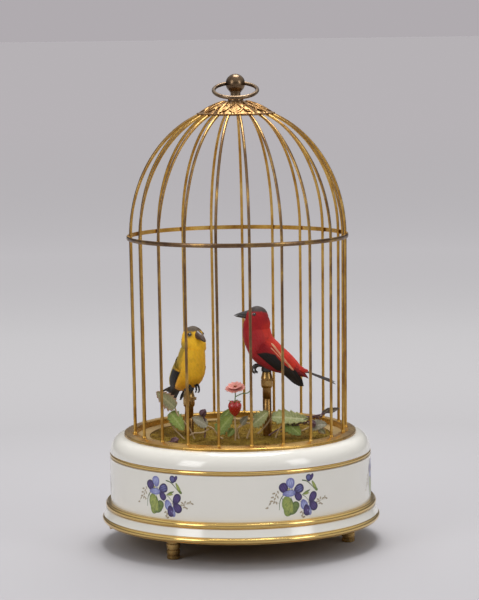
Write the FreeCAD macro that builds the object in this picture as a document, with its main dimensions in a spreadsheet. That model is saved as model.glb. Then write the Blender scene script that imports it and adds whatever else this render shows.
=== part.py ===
import FreeCAD, Part

import math
import os
import re

import Sketcher

# Singing bird cage automaton, in millimetres.
# Z is up, the front faces -Y and the feet stand on z = 0.
# A bearing is counted from the front towards +X: x = r sin(bearing), y = -r cos(bearing).
# Round wires and plumage forms are drawn with few sides, because they repeat.

doc = FreeCAD.newDocument("singing_bird_cage")
V = FreeCAD.Vector

# Driving sizes

SIZES = [
    # Base case
    ("base_radius", 83.0, "outer radius over the lowest bead"),
    ("foot_height", 14.1, "height of a foot, and of the case's underside"),
    ("foot_radius", 4.25, "radius of a foot"),
    ("foot_inset", 18.7, "how far the feet stand in from the lowest bead"),
    ("foot_bearing", -38.0, "bearing of the first foot"),
    ("band_inset", 5.2, "how far the painted band stands in from the lowest bead"),
    ("shell_wall", 3.0, "wall of the case"),
    ("lower_bead_height", 3.8, "height of the lower moulding"),
    ("skirt_height", 4.5, "height of the sloped skirt above the lower moulding"),
    ("middle_bead_height", 3.8, "height of the middle moulding"),
    ("middle_bead_reach", 3.1, "how far the middle moulding stands off the band"),
    ("band_height", 26.3, "height of the painted band"),
    ("upper_bead_height", 3.0, "height of the upper moulding"),
    ("upper_bead_depth", 2.0, "depth of the groove for the upper moulding"),
    ("shoulder_width", 7.0, "how far the rounded shoulder draws in"),
    ("shoulder_rise", 9.8, "height of the rounded shoulder"),
    ("ring_sides", 54.0, "number of flat sides of a moulding or ring"),
    ("bottom_plate_thickness", 1.5, "thickness of the bottom plate"),
    ("screw_radius", 2.0, "radius of a bottom screw's head"),
    # Cage floor and ring
    ("floor_thickness", 2.5, "thickness of the cage floor"),
    ("floor_ledge", 2.0, "width of the ledge under the cage floor"),
    ("floor_border", 14.8, "width from the moss to the rim of the case"),
    ("recess_depth", 1.2, "depth of that recess"),
    ("moss_thickness", 0.6, "thickness of the moss mat"),
    ("ring_width", 7.0, "width of the gallery ring"),
    ("ring_rise", 2.5, "height of the gallery ring above the case"),
    # Cage
    ("wire_count", 21.0, "number of cage wires"),
    ("wire_diameter", 1.8, "diameter of a cage wire"),
    ("wire_bearing", 6.0, "bearing of the first wire"),
    ("wire_inset", 5.6, "how far the wires stand in from the rim of the case"),
    ("wire_flare", 0.8, "how far the wires lean out on their way up to the dome"),
    ("cage_wall_height", 115.1, "height of the straight part of the wires"),
    ("dome_height", 76.5, "half axis of the dome's ellipse"),
    ("crown_inset", 2.7, "how far the wires end inside the cap's edge"),
    ("dome_runs", 5.0, "number of straight runs that make one wire's dome"),
    ("shoulder_band_height", 2.5, "height of the band round the wires"),
    ("shoulder_band_thickness", 0.8, "thickness of that band"),
    # Crown
    ("cap_radius", 23.2, "edge radius of the crown cap"),
    ("cap_lift", 0.4, "height of the cap's edge above the wires' ends"),
    ("cap_rise", 7.6, "height of the cap"),
    ("cap_neck_radius", 4.6, "radius of the cap's top"),
    ("cap_thickness", 0.8, "thickness of the cap's sheet"),
    ("cap_lobes", 24.0, "number of lobes round the cap"),
    ("clamp_radius", 3.0, "radius of the threaded rod through the cap"),
    ("finial_ball_radius", 5.5, "radius of the finial's ball"),
    ("finial_neck_radius", 3.1, "radius of the finial's neck"),
    ("finial_rise", 9.7, "height of the ball's centre above the cap"),
    ("hanger_radius", 12.75, "centre-line radius of the suspension ring"),
    ("hanger_wire", 2.0, "wire diameter of the suspension ring"),
    ("hanger_tilt", 18.5, "angle at which the ring leans below level"),
    ("hanger_hole_gap", 0.8, "clearance of the hole through the ball"),
    # Perches and birds
    ("red_x", 16.3, "x of the red bird's post"),
    ("red_y", -2.1, "y of the red bird's post"),
    ("red_rise", 37.5, "height of the red bird's collar above the floor"),
    ("red_heading", 180.0, "direction that the red bird faces, from +X"),
    ("red_head_yaw", 0.0, "turn of the red bird's head on its spindle"),
    ("yellow_x", -30.3, "x of the yellow bird's post"),
    ("yellow_y", 3.7, "y of the yellow bird's post"),
    ("yellow_rise", 25.9, "height of the yellow bird's collar above the floor"),
    ("yellow_heading", -66.0, "direction that the yellow bird faces, from +X"),
    ("yellow_head_yaw", 12.0, "turn of the yellow bird's head on its spindle"),
    ("post_radius", 2.6, "radius of a post"),
    ("collar_radius", 3.5, "radius of a collar"),
    ("collar_height", 9.4, "height of a collar"),
    ("post_tail", 4.3, "how far a post reaches below the floor"),
    ("spindle_radius", 1.5, "radius of a head spindle"),
    ("spindle_bore", 0.8, "bore radius of a head spindle"),
    ("running_gap", 0.06, "clearance all round a turning or sliding rod"),
    ("pull_wire_radius", 0.4, "radius of a pull wire"),
    ("neck_height", 26.3, "height of the neck's parting above the collar"),
    ("neck_gap", 0.35, "gap between body and head"),
    ("body_width", 17.2, "width of a bird's body"),
    ("body_length", 44.0, "length of a bird's body from rump to neck"),
    ("body_rear", 21.0, "distance of the rump behind the post's axis"),
    ("wing_thickness", 1.3, "thickness of a wing"),
    ("wing_parting", 2.7, "half of the gap between the wings"),
    ("sleeve_radius", 3.2, "radius of the sleeve that the body sits on"),
    ("sleeve_height", 4.2, "height of that sleeve"),
    ("head_radius", 7.3, "largest radius of the head"),
    ("beak_reach", 19.2, "distance of the beak's tip ahead of the post's axis"),
    ("beak_line", 34.0, "height of the gape between the beak's halves"),
    ("jaw_x", 10.0, "how far the lower beak's hinge is ahead of the axis"),
    ("jaw_z", 31.6, "height of the lower beak's hinge"),
    ("tail_hinge_x", 16.5, "how far the tail's hinge is behind the axis"),
    ("tail_hinge_z", 5.0, "height of the tail's hinge"),
    ("tail_length", 19.2, "length of the tail's blade"),
    ("tail_slope", 21.5, "angle at which the tail droops"),
    ("arm_thickness", 1.2, "thickness of the tail's and the beak's arms"),
    ("pin_radius", 0.6, "radius of a hinge pin"),
    ("collar_wire_radius", 0.74, "radius of a pull wire's collars"),
    ("collar_gap", 0.9, "gap between a pair of those collars"),
    ("wire_travel", 2.5, "travel of a pull wire"),
    ("body_tilt", 44.1, "angle of the body's axis from upright"),
    ("plume_sides", 14.0, "number of sides of a plumage form"),
    # Movement
    ("movement_bottom", 19.0, "height of the lower movement plate"),
    ("movement_plate", 1.5, "thickness of a movement plate"),
    ("pillar_height", 23.5, "height of the movement's pillars"),
    ("movement_length", 104.0, "length of the movement plates"),
    ("movement_width", 92.0, "width of the movement plates"),
    ("arbor_radius", 1.5, "radius of the train's arbors"),
    ("barrel_x", 18.0, "x of the mainspring barrel"),
    ("barrel_y", 20.0, "y of the mainspring barrel"),
    ("barrel_radius", 15.5, "radius of the barrel's drum"),
    ("great_module", 1.25, "module of the great wheel and the centre pinion"),
    ("great_teeth", 32.0, "teeth of the great wheel"),
    ("centre_pinion_teeth", 8.0, "leaves of the centre pinion"),
    ("centre_module", 1.0, "module of the centre wheel and the third pinion"),
    ("centre_teeth", 28.0, "teeth of the centre wheel"),
    ("third_pinion_teeth", 7.0, "leaves of the third pinion"),
    ("third_module", 0.8, "module of the third wheel and the fly pinion"),
    ("third_teeth", 24.0, "teeth of the third wheel"),
    ("fly_pinion_teeth", 6.0, "leaves of the fly's pinion"),
    ("tooth_gap", 0.06, "play that each flank leaves at the pitch line"),
    ("crank_throw", 6.0, "throw of a head spindle's crank"),
    ("song_arm", 12.0, "reach of the song lever's arms"),
    ("cam_radius", 7.0, "largest radius of the turning cam"),
    ("cam_clearance", 5.2, "how far the turning lever's follower stands off its cam"),
    ("face_cam_radius", 11.0, "radius of the song cam"),
    ("bellows_x", -45.0, "x of the bellows' hinge"),
    ("bellows_y", -22.0, "y of the bellows' middle"),
    ("bellows_length", 34.0, "length of the bellows"),
    ("bellows_width", 24.0, "width of the bellows"),
    ("bellows_angle", 6.0, "angle of the bellows at rest"),
    ("whistle_radius", 4.5, "radius of the whistle"),
    ("whistle_bore", 3.2, "bore radius of the whistle"),
    ("whistle_length", 34.0, "length of the whistle"),
    ("start_gap", 8.0, "how far the start lever's pivot stands off the movement plates"),
    ("start_bearing", -81.0, "bearing of the start lever"),
    ("start_tip_inset", 3.5, "how far the start lever's tip stops short of the lowest bead"),
    ("click_slope", 32.0, "angle at which the click leans to the ratchet"),
    ("key_span", 30.0, "width of the winding key"),
]

# Sizes that follow from the driving ones

RULES = {
    "band_radius": "base_radius - band_inset",
    "foot_circle": "base_radius - foot_inset",
    "shell_bottom": "foot_height + bottom_plate_thickness",
    "skirt_bottom": "foot_height + lower_bead_height",
    "skirt_top": "skirt_bottom + skirt_height",
    "band_top": "skirt_top + middle_bead_height + band_height",
    "shoulder_bottom": "band_top + upper_bead_height",
    "shell_top": "shoulder_bottom + shoulder_rise",
    "shoulder_radius": "band_radius - upper_bead_depth",
    "shell_top_radius": "shoulder_radius - shoulder_width",
    "shell_bore": "band_radius - shell_wall",
    "rebate_radius": "shell_top_radius - shell_wall",
    "ledge_radius": "rebate_radius - floor_ledge",
    "floor_top": "shell_top - 1",
    "floor_bottom": "floor_top - floor_thickness",
    "ring_top": "shell_top + ring_rise",
    "ring_bore": "shell_top_radius - ring_width",
    "recess_radius": "shell_top_radius - floor_border",
    "recess_floor": "floor_top - recess_depth",
    "wire_radius": "wire_diameter / 2",
    "foot_wire_radius": "shell_top_radius - wire_inset",
    "cage_radius": "foot_wire_radius + wire_flare",
    "crown_radius": "cap_radius - crown_inset",
    "dome_z": "ring_top + cage_wall_height",
    "crown_z": "dome_z + dome_height * sin(acos(crown_radius / cage_radius))",
    "cap_edge_z": "crown_z + cap_lift",
    "cap_top": "cap_edge_z + cap_rise",
    "finial_ball_z": "cap_top + finial_rise",
    "red_top": "floor_top + red_rise",
    "yellow_top": "floor_top + yellow_rise",
    "post_bottom": "floor_bottom - post_tail",
    "start_circle": "movement_length / 2 + start_gap",
    "start_reach": "base_radius - start_circle - start_tip_inset",
    "start_x": "start_circle * sin(start_bearing)",
    "start_y": "-start_circle * cos(start_bearing)",
    "movement_upper": "movement_bottom + movement_plate + pillar_height",
    "movement_top": "movement_upper + movement_plate",
    "lower_seat_radius": "base_radius - 3.6",
    "screw_circle": "(shell_bore + lower_seat_radius) / 2",
    "key_top": "foot_height - 1.1",
    "great_radius": "great_module * great_teeth / 2",
    "centre_x": "barrel_x - 23 / 25 * train_step",
    "train_step": "great_module * (great_teeth + centre_pinion_teeth) / 2",
    "centre_y": "barrel_y + sqrt(1 - (23 / 25)^2) * train_step",
    "third_x": "centre_x - centre_module * (centre_teeth + third_pinion_teeth) / 2",
    "third_y": "centre_y",
    "fly_step": "third_module * (third_teeth + fly_pinion_teeth) / 2",
    "fly_x": "third_x - 0.6 * fly_step",
    "fly_y": "third_y - 0.8 * fly_step",
    "hole_radius": "arbor_radius + running_gap",
    "post_gap_radius": "spindle_radius + running_gap",
    "beak_collar_z": "jaw_z - wire_travel / 2 - 0.35",
    "tail_collar_z": "tail_hinge_z + 0.1",
    "spindle_top": "beak_collar_z - 0.6",
    "post_angle": "atan2(red_y - yellow_y; red_x - yellow_x)",
    "post_step": "sqrt((red_x - yellow_x)^2 + (red_y - yellow_y)^2)",
    "mid_x": "(red_x + yellow_x) / 2",
    "mid_y": "(red_y + yellow_y) / 2",
    "crank_z": "post_bottom - 4.5",
    "lever_z": "crank_z - 2.2",
    "song_z": "movement_top + 3",
    "great_angle": "atan2(centre_y - barrel_y; centre_x - barrel_x)",
    "fly_angle": "atan2(fly_y - third_y; fly_x - third_x)",
    "fork_reach": "post_step / 2 - crank_throw",
    "cam_x": "(centre_x - mid_x) * cos(post_angle) + (centre_y - mid_y) * sin(post_angle)",
    "cam_y": "(centre_y - mid_y) * cos(post_angle) - (centre_x - mid_x) * sin(post_angle)",
}

sheet = doc.addObject("Spreadsheet::Sheet", "Sizes")
for row, (alias, value, meaning) in enumerate(SIZES, 1):
    sheet.set("A%d" % row, meaning)
    sheet.set("B%d" % row, str(value))
    sheet.setAlias("B%d" % row, alias)
doc.recompute()

ALIASES = {alias for alias, value, meaning in SIZES}


def unfold(formula):
    """The formula with every derived size written out in driving sizes."""
    def swap(match):
        word = match.group(0)
        return "(%s)" % unfold(RULES[word]) if word in RULES else word
    return re.sub(r"[a-z_]+\b(?!\()", swap, str(formula))


def bound(formula):
    """The formula as an expression that reads the spreadsheet."""
    def swap(match):
        word = match.group(0)
        return "Sizes." + word if word in ALIASES else word
    return re.sub(r"[a-z_]+\b(?!\()", swap, unfold(formula))


def size(formula):
    """The formula's present value."""
    return float(sheet.evalExpression(unfold(formula)))


def bind(item, **formulas):
    """Bind an object's properties to formulas of the driving sizes."""
    for name, formula in formulas.items():
        item.setExpression(name, bound(formula))
    return item


def put(item, x="0", y="0", z="0"):
    """Bind an object's position."""
    for name, formula in (("x", x), ("y", y), ("z", z)):
        item.setExpression(".Placement.Base." + name, bound(formula))
    return item


def turn(item, axis, angle):
    """Bind an object's rotation about one axis."""
    item.Placement = FreeCAD.Placement(V(), FreeCAD.Rotation(axis, size(angle) or 360))
    item.setExpression(".Placement.Rotation.Angle", bound(angle))
    return item


# Shapes that the sub-parts share

RING_SIDES = int(size("ring_sides"))
TO_X = FreeCAD.Rotation(V(0, 1, 0), 90)
TO_Y = FreeCAD.Rotation(V(1, 0, 0), -90)
NODES = []


def node(item, label):
    """Name a finished sub-part."""
    item.Label = label
    NODES.append(item)
    return item


def add(kind, name):
    return doc.addObject("Part::" + kind, name)


def rod(name, radius, length, x="0", y="0", z="0", along=None, sides=0):
    """A round rod, or one with flat sides where the number of sides is given."""
    if sides:
        item = bind(add("Prism", name), Circumradius=radius, Height=length)
        item.Polygon = sides
    else:
        item = bind(add("Cylinder", name), Radius=radius, Height=length)
    if along is not None:
        item.Placement = FreeCAD.Placement(V(), along)
    return put(item, x, y, z)


def block(name, length, width, height, x="0", y="0", z="0"):
    """A block centred on x and y that stands on z."""
    item = bind(add("Box", name), Length=length, Width=width, Height=height)
    return put(item, "%s - (%s) / 2" % (x, length), "%s - (%s) / 2" % (y, width), z)


def join(name, *items):
    fused = add("MultiFuse", name)
    fused.Shapes = list(items)
    return fused


def group(name, *items):
    """Separate solids kept as one object."""
    compound = add("Compound", name)
    compound.Links = list(items)
    return compound


def cut(name, base, *tools):
    result = add("Cut", name)
    result.Base = base
    result.Tool = tools[0] if len(tools) == 1 else join(name + "_tools", *tools)
    return result


def common(name, base, tool):
    result = add("Common", name)
    result.Base = base
    result.Tool = tool
    return result


def ring_points(x, z, radius, sides):
    """Corners of a level regular outline."""
    corners = []
    for number in range(sides):
        angle = 2 * math.pi * number / sides
        corners.append(V(x + radius * math.cos(angle), radius * math.sin(angle), z))
    return corners


def shaped(name, stations, sides="plume_sides"):
    """A solid with flat facets through level outlines, each given by its x, height and radius."""
    count = int(size(sides))
    rings = [ring_points(size(x), size(z), size(radius), count) for x, z, radius in stations]
    faces = [Part.Face(Part.makePolygon(ring + ring[:1])) for ring in (rings[0], rings[-1])]
    for lower, upper in zip(rings, rings[1:]):
        for number in range(count):
            after = (number + 1) % count
            corners = [lower[number], lower[after], upper[after], upper[number], lower[number]]
            faces.append(Part.Face(Part.makePolygon(corners)))
    form = add("Feature", name)
    form.Shape = Part.Solid(Part.Shell(faces))
    return form


def body_with_outline(name, plane, outline):
    """A body and a closed sketch through points whose two coordinates are formulas."""
    body = doc.addObject("PartDesign::Body", name)
    sketch = body.newObject("Sketcher::SketchObject", name + "_outline")
    planes = {origin.Role: origin for origin in body.Origin.OriginFeatures}
    sketch.AttachmentSupport = (planes[plane], [""])
    sketch.MapMode = "FlatFace"
    count = len(outline)
    spots = [V(size(x), size(y), 0) for x, y in outline]
    for number in range(count):
        sketch.addGeometry(Part.LineSegment(spots[number], spots[(number + 1) % count]), False)
    for number in range(count):
        sketch.addConstraint(Sketcher.Constraint("Coincident", number, 2, (number + 1) % count, 1))
    for number, (x, y) in enumerate(outline):
        for kind, formula in (("DistanceX", x), ("DistanceY", y)):
            rule = Sketcher.Constraint(kind, -1, 1, number, 1, size(formula))
            place = sketch.addConstraint(rule)
            sketch.setExpression("Constraints[%d]" % place, bound(formula))
    return body, sketch


def plate(name, outline, z, thickness):
    """A flat plate padded upwards from z."""
    body, sketch = body_with_outline(name, "XY_Plane", outline)
    pad = body.newObject("PartDesign::Pad", name + "_pad")
    pad.Profile = sketch
    bind(pad, Length=thickness)
    return put(body, "0", "0", z)


def polar(radius, bearing):
    """Formulas for x and y at a bearing."""
    return "(%s) * sin(%s)" % (radius, bearing), "-(%s) * cos(%s)" % (radius, bearing)


# Base case

def make_base_shell():
    """The turned case, hollow for the movement and rebated for the floor."""
    runs = 3
    outside = [
        ("0", "skirt_bottom", "base_radius - 1"),
        ("0", "skirt_top", "base_radius - 2.7"),
        ("0", "skirt_top", "band_radius"),
        ("0", "band_top", "band_radius"),
    ]
    for step in range(runs + 1):
        angle = 90 * step / runs
        height = "band_top + (shell_top - band_top) * sin(%g)" % angle
        outside.append(("0", height, "shell_top_radius + shoulder_width * cos(%g)" % angle))
    hollow = [
        ("0", "skirt_bottom", "shell_bore"),
        ("0", "floor_bottom - shoulder_width * 1.6", "shell_bore"),
        ("0", "floor_bottom", "ledge_radius"),
        ("0", "floor_bottom", "rebate_radius"),
        ("0", "shell_top", "rebate_radius"),
    ]
    return cut("case", shaped("case_outside", outside, "ring_sides"), shaped("case_hollow", hollow, "ring_sides"))


def make_moulding(name, inner, outer, bottom, height):
    """A gilt bead that lies round the case."""
    lip = "(%s) - (%s) * 0.3" % (outer, height)
    bead = shaped(name + "_round", [
        ("0", bottom, lip),
        ("0", "%s + (%s) / 2" % (bottom, height), outer),
        ("0", "%s + %s" % (bottom, height), lip),
    ], "ring_sides")
    bore = rod(name + "_bore", inner, height, z=bottom, sides=RING_SIDES)
    return cut(name, bead, bore)


def make_bottom_plate():
    disc = rod("bottom_disc", "lower_seat_radius", "bottom_plate_thickness", z="foot_height", sides=RING_SIDES)
    arbor_hole = rod("arbor_hole", "arbor_radius + 1", "bottom_plate_thickness",
                     "barrel_x", "barrel_y", "foot_height", sides=12)
    lever_hole = rod("lever_hole", "hole_radius", "bottom_plate_thickness", "start_x", "start_y", "foot_height",
                     sides=12)
    return cut("bottom_with_hole", disc, arbor_hole, lever_hole)


def make_bottom_screws():
    screws = []
    for number in range(4):
        x, y = polar("screw_circle", "45 + 90 * %d" % number)
        screws.append(rod("screw_%d" % number, "screw_radius", "1", x, y, "foot_height - 1", sides=8))
    return group("screws", *screws)


def make_feet():
    feet = []
    for number in range(3):
        x, y = polar("foot_circle", "foot_bearing + 120 * %d" % number)
        foot = shaped("foot_%d" % number, [
            ("0", "0", "foot_radius - 0.5"),
            ("0", "foot_height * 0.3", "foot_radius - 0.5"),
            ("0", "foot_height * 0.45", "foot_radius"),
            ("0", "foot_height", "foot_radius"),
        ])
        feet.append(put(foot, x, y))
    return group("three_feet", *feet)


def post_hole(name, colour):
    return rod(name, "post_radius", "floor_thickness", colour + "_x", colour + "_y", "floor_bottom",
               sides=14)


def make_floor_plate():
    disc = rod("floor_disc", "rebate_radius", "floor_thickness", z="floor_bottom", sides=RING_SIDES)
    recess = rod("floor_recess", "recess_radius", "recess_depth", z="recess_floor", sides=RING_SIDES)
    return cut("floor_with_holes", disc, recess, post_hole("red_hole", "red"), post_hole("yellow_hole", "yellow"))


def make_moss_mat():
    disc = rod("moss_disc", "recess_radius", "moss_thickness", z="recess_floor", sides=RING_SIDES)
    holes = [rod(colour + "_moss_hole", "post_radius", "moss_thickness", colour + "_x", colour + "_y",
                 "recess_floor", sides=14) for colour in ("red", "yellow")]
    return cut("moss_with_holes", disc, *holes)


def make_gallery_ring():
    ring = shaped("ring_form", [
        ("0", "floor_top", "rebate_radius"),
        ("0", "shell_top", "rebate_radius"),
        ("0", "shell_top", "shell_top_radius + 0.3"),
        ("0", "ring_top", "shell_top_radius - 2.6"),
    ], "ring_sides")
    bore = rod("ring_bore_cut", "ring_bore", "ring_top - floor_top", z="floor_top", sides=RING_SIDES)
    return cut("ring", ring, bore)


# Cage

def wire_route():
    """Radii and heights of the points that one cage wire passes."""
    route = [("foot_wire_radius", "ring_top")]
    runs = int(size("dome_runs"))
    for step in range(runs + 1):
        angle = "acos(crown_radius / cage_radius) * %d / %d" % (step, runs)
        route.append(("cage_radius * cos(%s)" % angle, "dome_z + dome_height * sin(%s)" % angle))
    return [(size(radius), size(z)) for radius, z in route]


def make_cage_wires():
    """Each wire is a six-sided rod bent over the dome in short runs."""
    route = [V(radius, 0, z) for radius, z in wire_route()]
    reach = size("wire_radius")
    corners = [V(reach * math.cos(k * math.pi / 3), reach * math.sin(k * math.pi / 3), 0) for k in range(7)]
    section = Part.makePolygon([route[0] + corner for corner in corners])
    spine = Part.makePolygon(route)
    wire = spine.makePipeShell([section], True, False, 1)
    count = int(size("wire_count"))
    wires = []
    for number in range(count):
        copy = wire.copy()
        copy.rotate(V(), V(0, 0, 1), size("wire_bearing") - 90 + number * 360 / count)
        wires.append(copy)
    cage = add("Feature", "wires")
    cage.Shape = Part.makeCompound(wires)
    return cage


def make_shoulder_band():
    """The band lies round the wires, with two flat sides to each wire."""
    sides = 2 * int(size("wire_count"))
    inner = "(cage_radius + wire_radius) / cos(180 / %d)" % sides
    low = "dome_z - shoulder_band_height / 2"
    hoop = rod("band_outside", inner + " + shoulder_band_thickness", "shoulder_band_height", z=low, sides=sides)
    bore = rod("band_bore", inner, "shoulder_band_height", z=low, sides=sides)
    return cut("band", hoop, bore)


def cap_form(name, drop):
    """The cap's hollow cone, lowered by a thickness for its underside."""
    span = "(cap_radius - cap_neck_radius)"
    stations = []
    for inward, rise in ((0, 0), (0.15, 0.17), (0.6, 0.57), (1, 1)):
        radius = "cap_radius - %s * %g" % (span, inward)
        stations.append(("0", "cap_edge_z + cap_rise * %g - %s" % (rise, drop), radius))
    return shaped(name, stations, "cap_lobes")


def make_crown_cap():
    rod_hole = rod("cap_hole", "clamp_radius", "cap_rise * 2", z="cap_edge_z", sides=12)
    return cut("cap", cap_form("cap_outside", "0"), cap_form("cap_inside", "cap_thickness"), rod_hole)


def make_crown_clamp():
    """The disc that the wires end on, and the rod that draws the cap down on it."""
    disc = rod("clamp_disc", "crown_radius - 0.2", "1.6", z="crown_z - 0.8", sides=24)
    stud = rod("clamp_stud", "clamp_radius", "cap_top - crown_z + 1", z="crown_z", sides=12)
    return join("clamp", disc, stud)


def make_finial():
    low = "cap_top"
    ball = "finial_ball_radius"
    stations = [
        ("0", low, "cap_neck_radius"),
        ("0", low + " + 1", "finial_neck_radius"),
        ("0", "finial_ball_z - %s * sin(55)" % ball, "finial_neck_radius"),
    ]
    for angle in (-32, -10, 12, 34, 56, 74):
        height = "finial_ball_z + %s * sin(%d)" % (ball, angle)
        stations.append(("0", height, "%s * cos(%d)" % (ball, angle)))
    turning = shaped("finial_turning", stations)
    hole = rod("hanger_hole", "hanger_wire / 2 + hanger_hole_gap", "finial_ball_radius * 2",
               "-finial_ball_radius", "0", "finial_ball_z", TO_X, 12)
    socket = rod("finial_socket", "clamp_radius", "1", z=low, sides=12)
    return cut("finial_drilled", turning, hole, socket)


def make_hanger():
    """The loose ring, whose back runs through the finial's ball."""
    spine = bind(add("RegularPolygon", "hanger_spine"), Circumradius="hanger_radius")
    spine.Polygon = 24
    section = bind(add("RegularPolygon", "hanger_section"), Circumradius="hanger_wire / 2")
    section.Polygon = 8
    section.Placement = FreeCAD.Placement(V(), TO_Y)
    put(section, "hanger_radius")
    sweep = add("Sweep", "hanger")
    sweep.Sections = [section]
    sweep.Spine = (spine, ["Edge%d" % (number + 1) for number in range(24)])
    sweep.Solid = True
    sweep.Transition = "Right corner"
    turn(sweep, V(1, 0, 0), "hanger_tilt")
    reach = "(hanger_radius - 0.6)"
    return put(sweep, "0", "-%s * cos(hanger_tilt)" % reach, "finial_ball_z - %s * sin(hanger_tilt)" % reach)


node(make_base_shell(), "base_shell")
node(make_moulding("upper_bead", "shoulder_radius", "band_radius + 0.1", "band_top", "upper_bead_height"),
     "upper_moulding")
node(make_moulding("middle_bead", "band_radius", "band_radius + middle_bead_reach", "skirt_top",
                   "middle_bead_height"), "middle_moulding")
node(make_moulding("lower_bead", "lower_seat_radius", "base_radius", "foot_height", "lower_bead_height"),
     "lower_moulding")
node(make_bottom_plate(), "bottom_plate")
node(make_bottom_screws(), "bottom_screws")
node(make_feet(), "feet")
node(make_floor_plate(), "floor_plate")
node(make_moss_mat(), "moss_mat")
node(make_gallery_ring(), "gallery_ring")
node(make_cage_wires(), "cage_wires")
node(make_shoulder_band(), "shoulder_band")
node(make_crown_cap(), "crown_cap")
node(make_crown_clamp(), "crown_clamp")
node(make_finial(), "finial")
node(make_hanger(), "suspension_ring")


# Birds: u runs forwards (X here), w upwards from the collar's top (Z here), and the post's axis is u = 0

BODY_STATIONS = [
    # along the body, below its axis, radius, as parts of the length and the width
    (-0.023, 0.047, 0.110),
    (0.114, 0.140, 0.279),
    (0.273, 0.244, 0.413),
    (0.455, 0.337, 0.488),
    (0.636, 0.343, 0.500),
    (0.773, 0.244, 0.471),
    (0.909, 0.116, 0.401),
    (1.000, 0.000, 0.349),
]
WING_REAR = [(-0.182, 0.186, 0.262), (-0.023, 0.116, 0.250)]


def perched(item, bird, heading):
    """Stand a piece on its bird's post and turn it to a heading."""
    turn(item, V(0, 0, 1), heading)
    return put(item, bird + "_x", bird + "_y", bird + "_top")


def slanted(item):
    """Lean a form along the body's axis, from the rump up to the neck."""
    turn(item, V(0, 1, 0), "body_tilt")
    return put(item, "-body_rear", "0", "-0.5")


def side_plate(name, outline, thickness):
    """A plate cut to an outline of u and w, centred on the bird's middle."""
    body, sketch = body_with_outline(name, "XZ_Plane", outline)
    pad = body.newObject("PartDesign::Pad", name + "_pad")
    pad.Profile = sketch
    pad.SideType = "Symmetric"
    bind(pad, Length=thickness)
    return body


def body_form(name, extra, rear=()):
    """The plumage of the body, swollen by an extra thickness."""
    stations = [("body_width * %g" % x, "body_length * %g" % z, "body_width * %g" % radius)
                for z, x, radius in rear]
    for z, x, radius in BODY_STATIONS:
        if rear and z < 0.1:
            continue
        stations.append(("body_width * %g" % x, "body_length * %g" % z,
                         "body_width * %g + %s" % (radius, extra)))
    return slanted(shaped(name, stations))


def make_post(bird):
    length = bird + "_top - post_bottom"
    stem = rod(bird + "_stem", "post_radius", length, bird + "_x", bird + "_y", "post_bottom", sides=14)
    collar = rod(bird + "_collar", "collar_radius", "collar_height", bird + "_x", bird + "_y",
                 bird + "_top - collar_height", sides=14)
    screw = rod(bird + "_set_screw", "0.9", "1.4", bird + "_x + collar_radius - 0.4", bird + "_y",
                bird + "_top - collar_height / 2", TO_X, 8)
    bore = rod(bird + "_post_bore", "post_gap_radius", length, bird + "_x", bird + "_y", "post_bottom", sides=12)
    return cut(bird + "_post_bored", join(bird + "_post_blank", stem, collar, screw), bore)


def make_body(bird):
    below_neck = block(bird + "_below_neck", "90", "60", "neck_height + 40", z="-40")
    plumage = common(bird + "_plumage", body_form(bird + "_body_form", "0"), below_neck)
    bore = rod(bird + "_body_bore", "spindle_radius + 0.35", "60", z="-20", sides=12)
    seat = rod(bird + "_seat", "sleeve_radius", "sleeve_height + 20", z="-20", sides=12)
    slot = block(bird + "_tail_slot", "26", "arm_thickness + 0.6", "13.5", "-13.8", "0", "-4")
    pin = rod(bird + "_tail_pin_hole", "pin_radius + running_gap", "6", "-tail_hinge_x", "-3",
              "tail_hinge_z", TO_Y, 8)
    return cut(bird + "_body_cut", plumage, bore, seat, slot, pin)


def make_wings(bird):
    outline = side_plate(bird + "_wing_outline", [
        ("5.3", "12"),
        ("3", "18"),
        ("-3", "21.5"),
        ("-13.5", "10.5"),
        ("-22", "-0.5"),
        ("-23.5", "-7"),
        ("-17.7", "-8.4"),
        ("-8", "0"),
        ("0", "6.5"),
    ], "40")
    outside = body_form(bird + "_wing_outside", "wing_thickness", WING_REAR)
    feathers = common(bird + "_feathers", outline, outside)
    middle = block(bird + "_wing_middle", "90", "wing_parting * 2", "90", z="-45")
    return cut(bird + "_wings_cut", feathers, body_form(bird + "_wing_inside", "0"), middle)


def make_bird_feet(bird):
    sleeve = rod(bird + "_sleeve", "sleeve_radius", "sleeve_height", sides=12)
    bore = rod(bird + "_sleeve_bore", "post_gap_radius", "sleeve_height", sides=12)
    toes = []
    for side in (-1, 1):
        toe = side_plate("%s_toe_%d" % (bird, side + 1), [
            ("0.5", "1.9"),
            ("6.6", "2.0"),
            ("7.2", "0.6"),
            ("8.0", "0.6"),
            ("8.3", "2.4"),
            ("7.2", "3.4"),
            ("0.5", "3.4"),
        ], "1.3")
        toes.append(put(toe, "0", "%d * 2.5" % side))
    return cut(bird + "_feet_cut", join(bird + "_feet_blank", sleeve, *toes), bore)


def head_form(name):
    low = "neck_height + neck_gap"
    return shaped(name, [
        ("5.5", low, "head_radius + 0.3"),
        ("5.5", low + " + 2.4", "head_radius"),
        ("5.5", low + " + 5.4", "head_radius * 0.96"),
        ("5.5", low + " + 7.4", "head_radius * 0.9"),
        ("5.4", low + " + 9.9", "head_radius * 0.75"),
        ("5.3", low + " + 11.7", "head_radius * 0.49"),
        ("5.3", low + " + 12.8", "head_radius * 0.19"),
    ])


def beak_form(name, root, reach):
    cone = shaped(name, [
        ("0", "0", "2.3"),
        ("0", "(%s - %s) * 0.5" % (reach, root), "1.5"),
        ("0", "%s - %s" % (reach, root), "0.3"),
    ], "10")
    cone.Placement = FreeCAD.Placement(V(), TO_X)
    return put(cone, root, "0", "beak_line")


def make_upper_beak(name):
    above = block(name + "_above", "60", "20", "10", z="beak_line + 0.1")
    return common(name, beak_form(name + "_cone", "jaw_x + 0.8", "beak_reach"), above)


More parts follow.
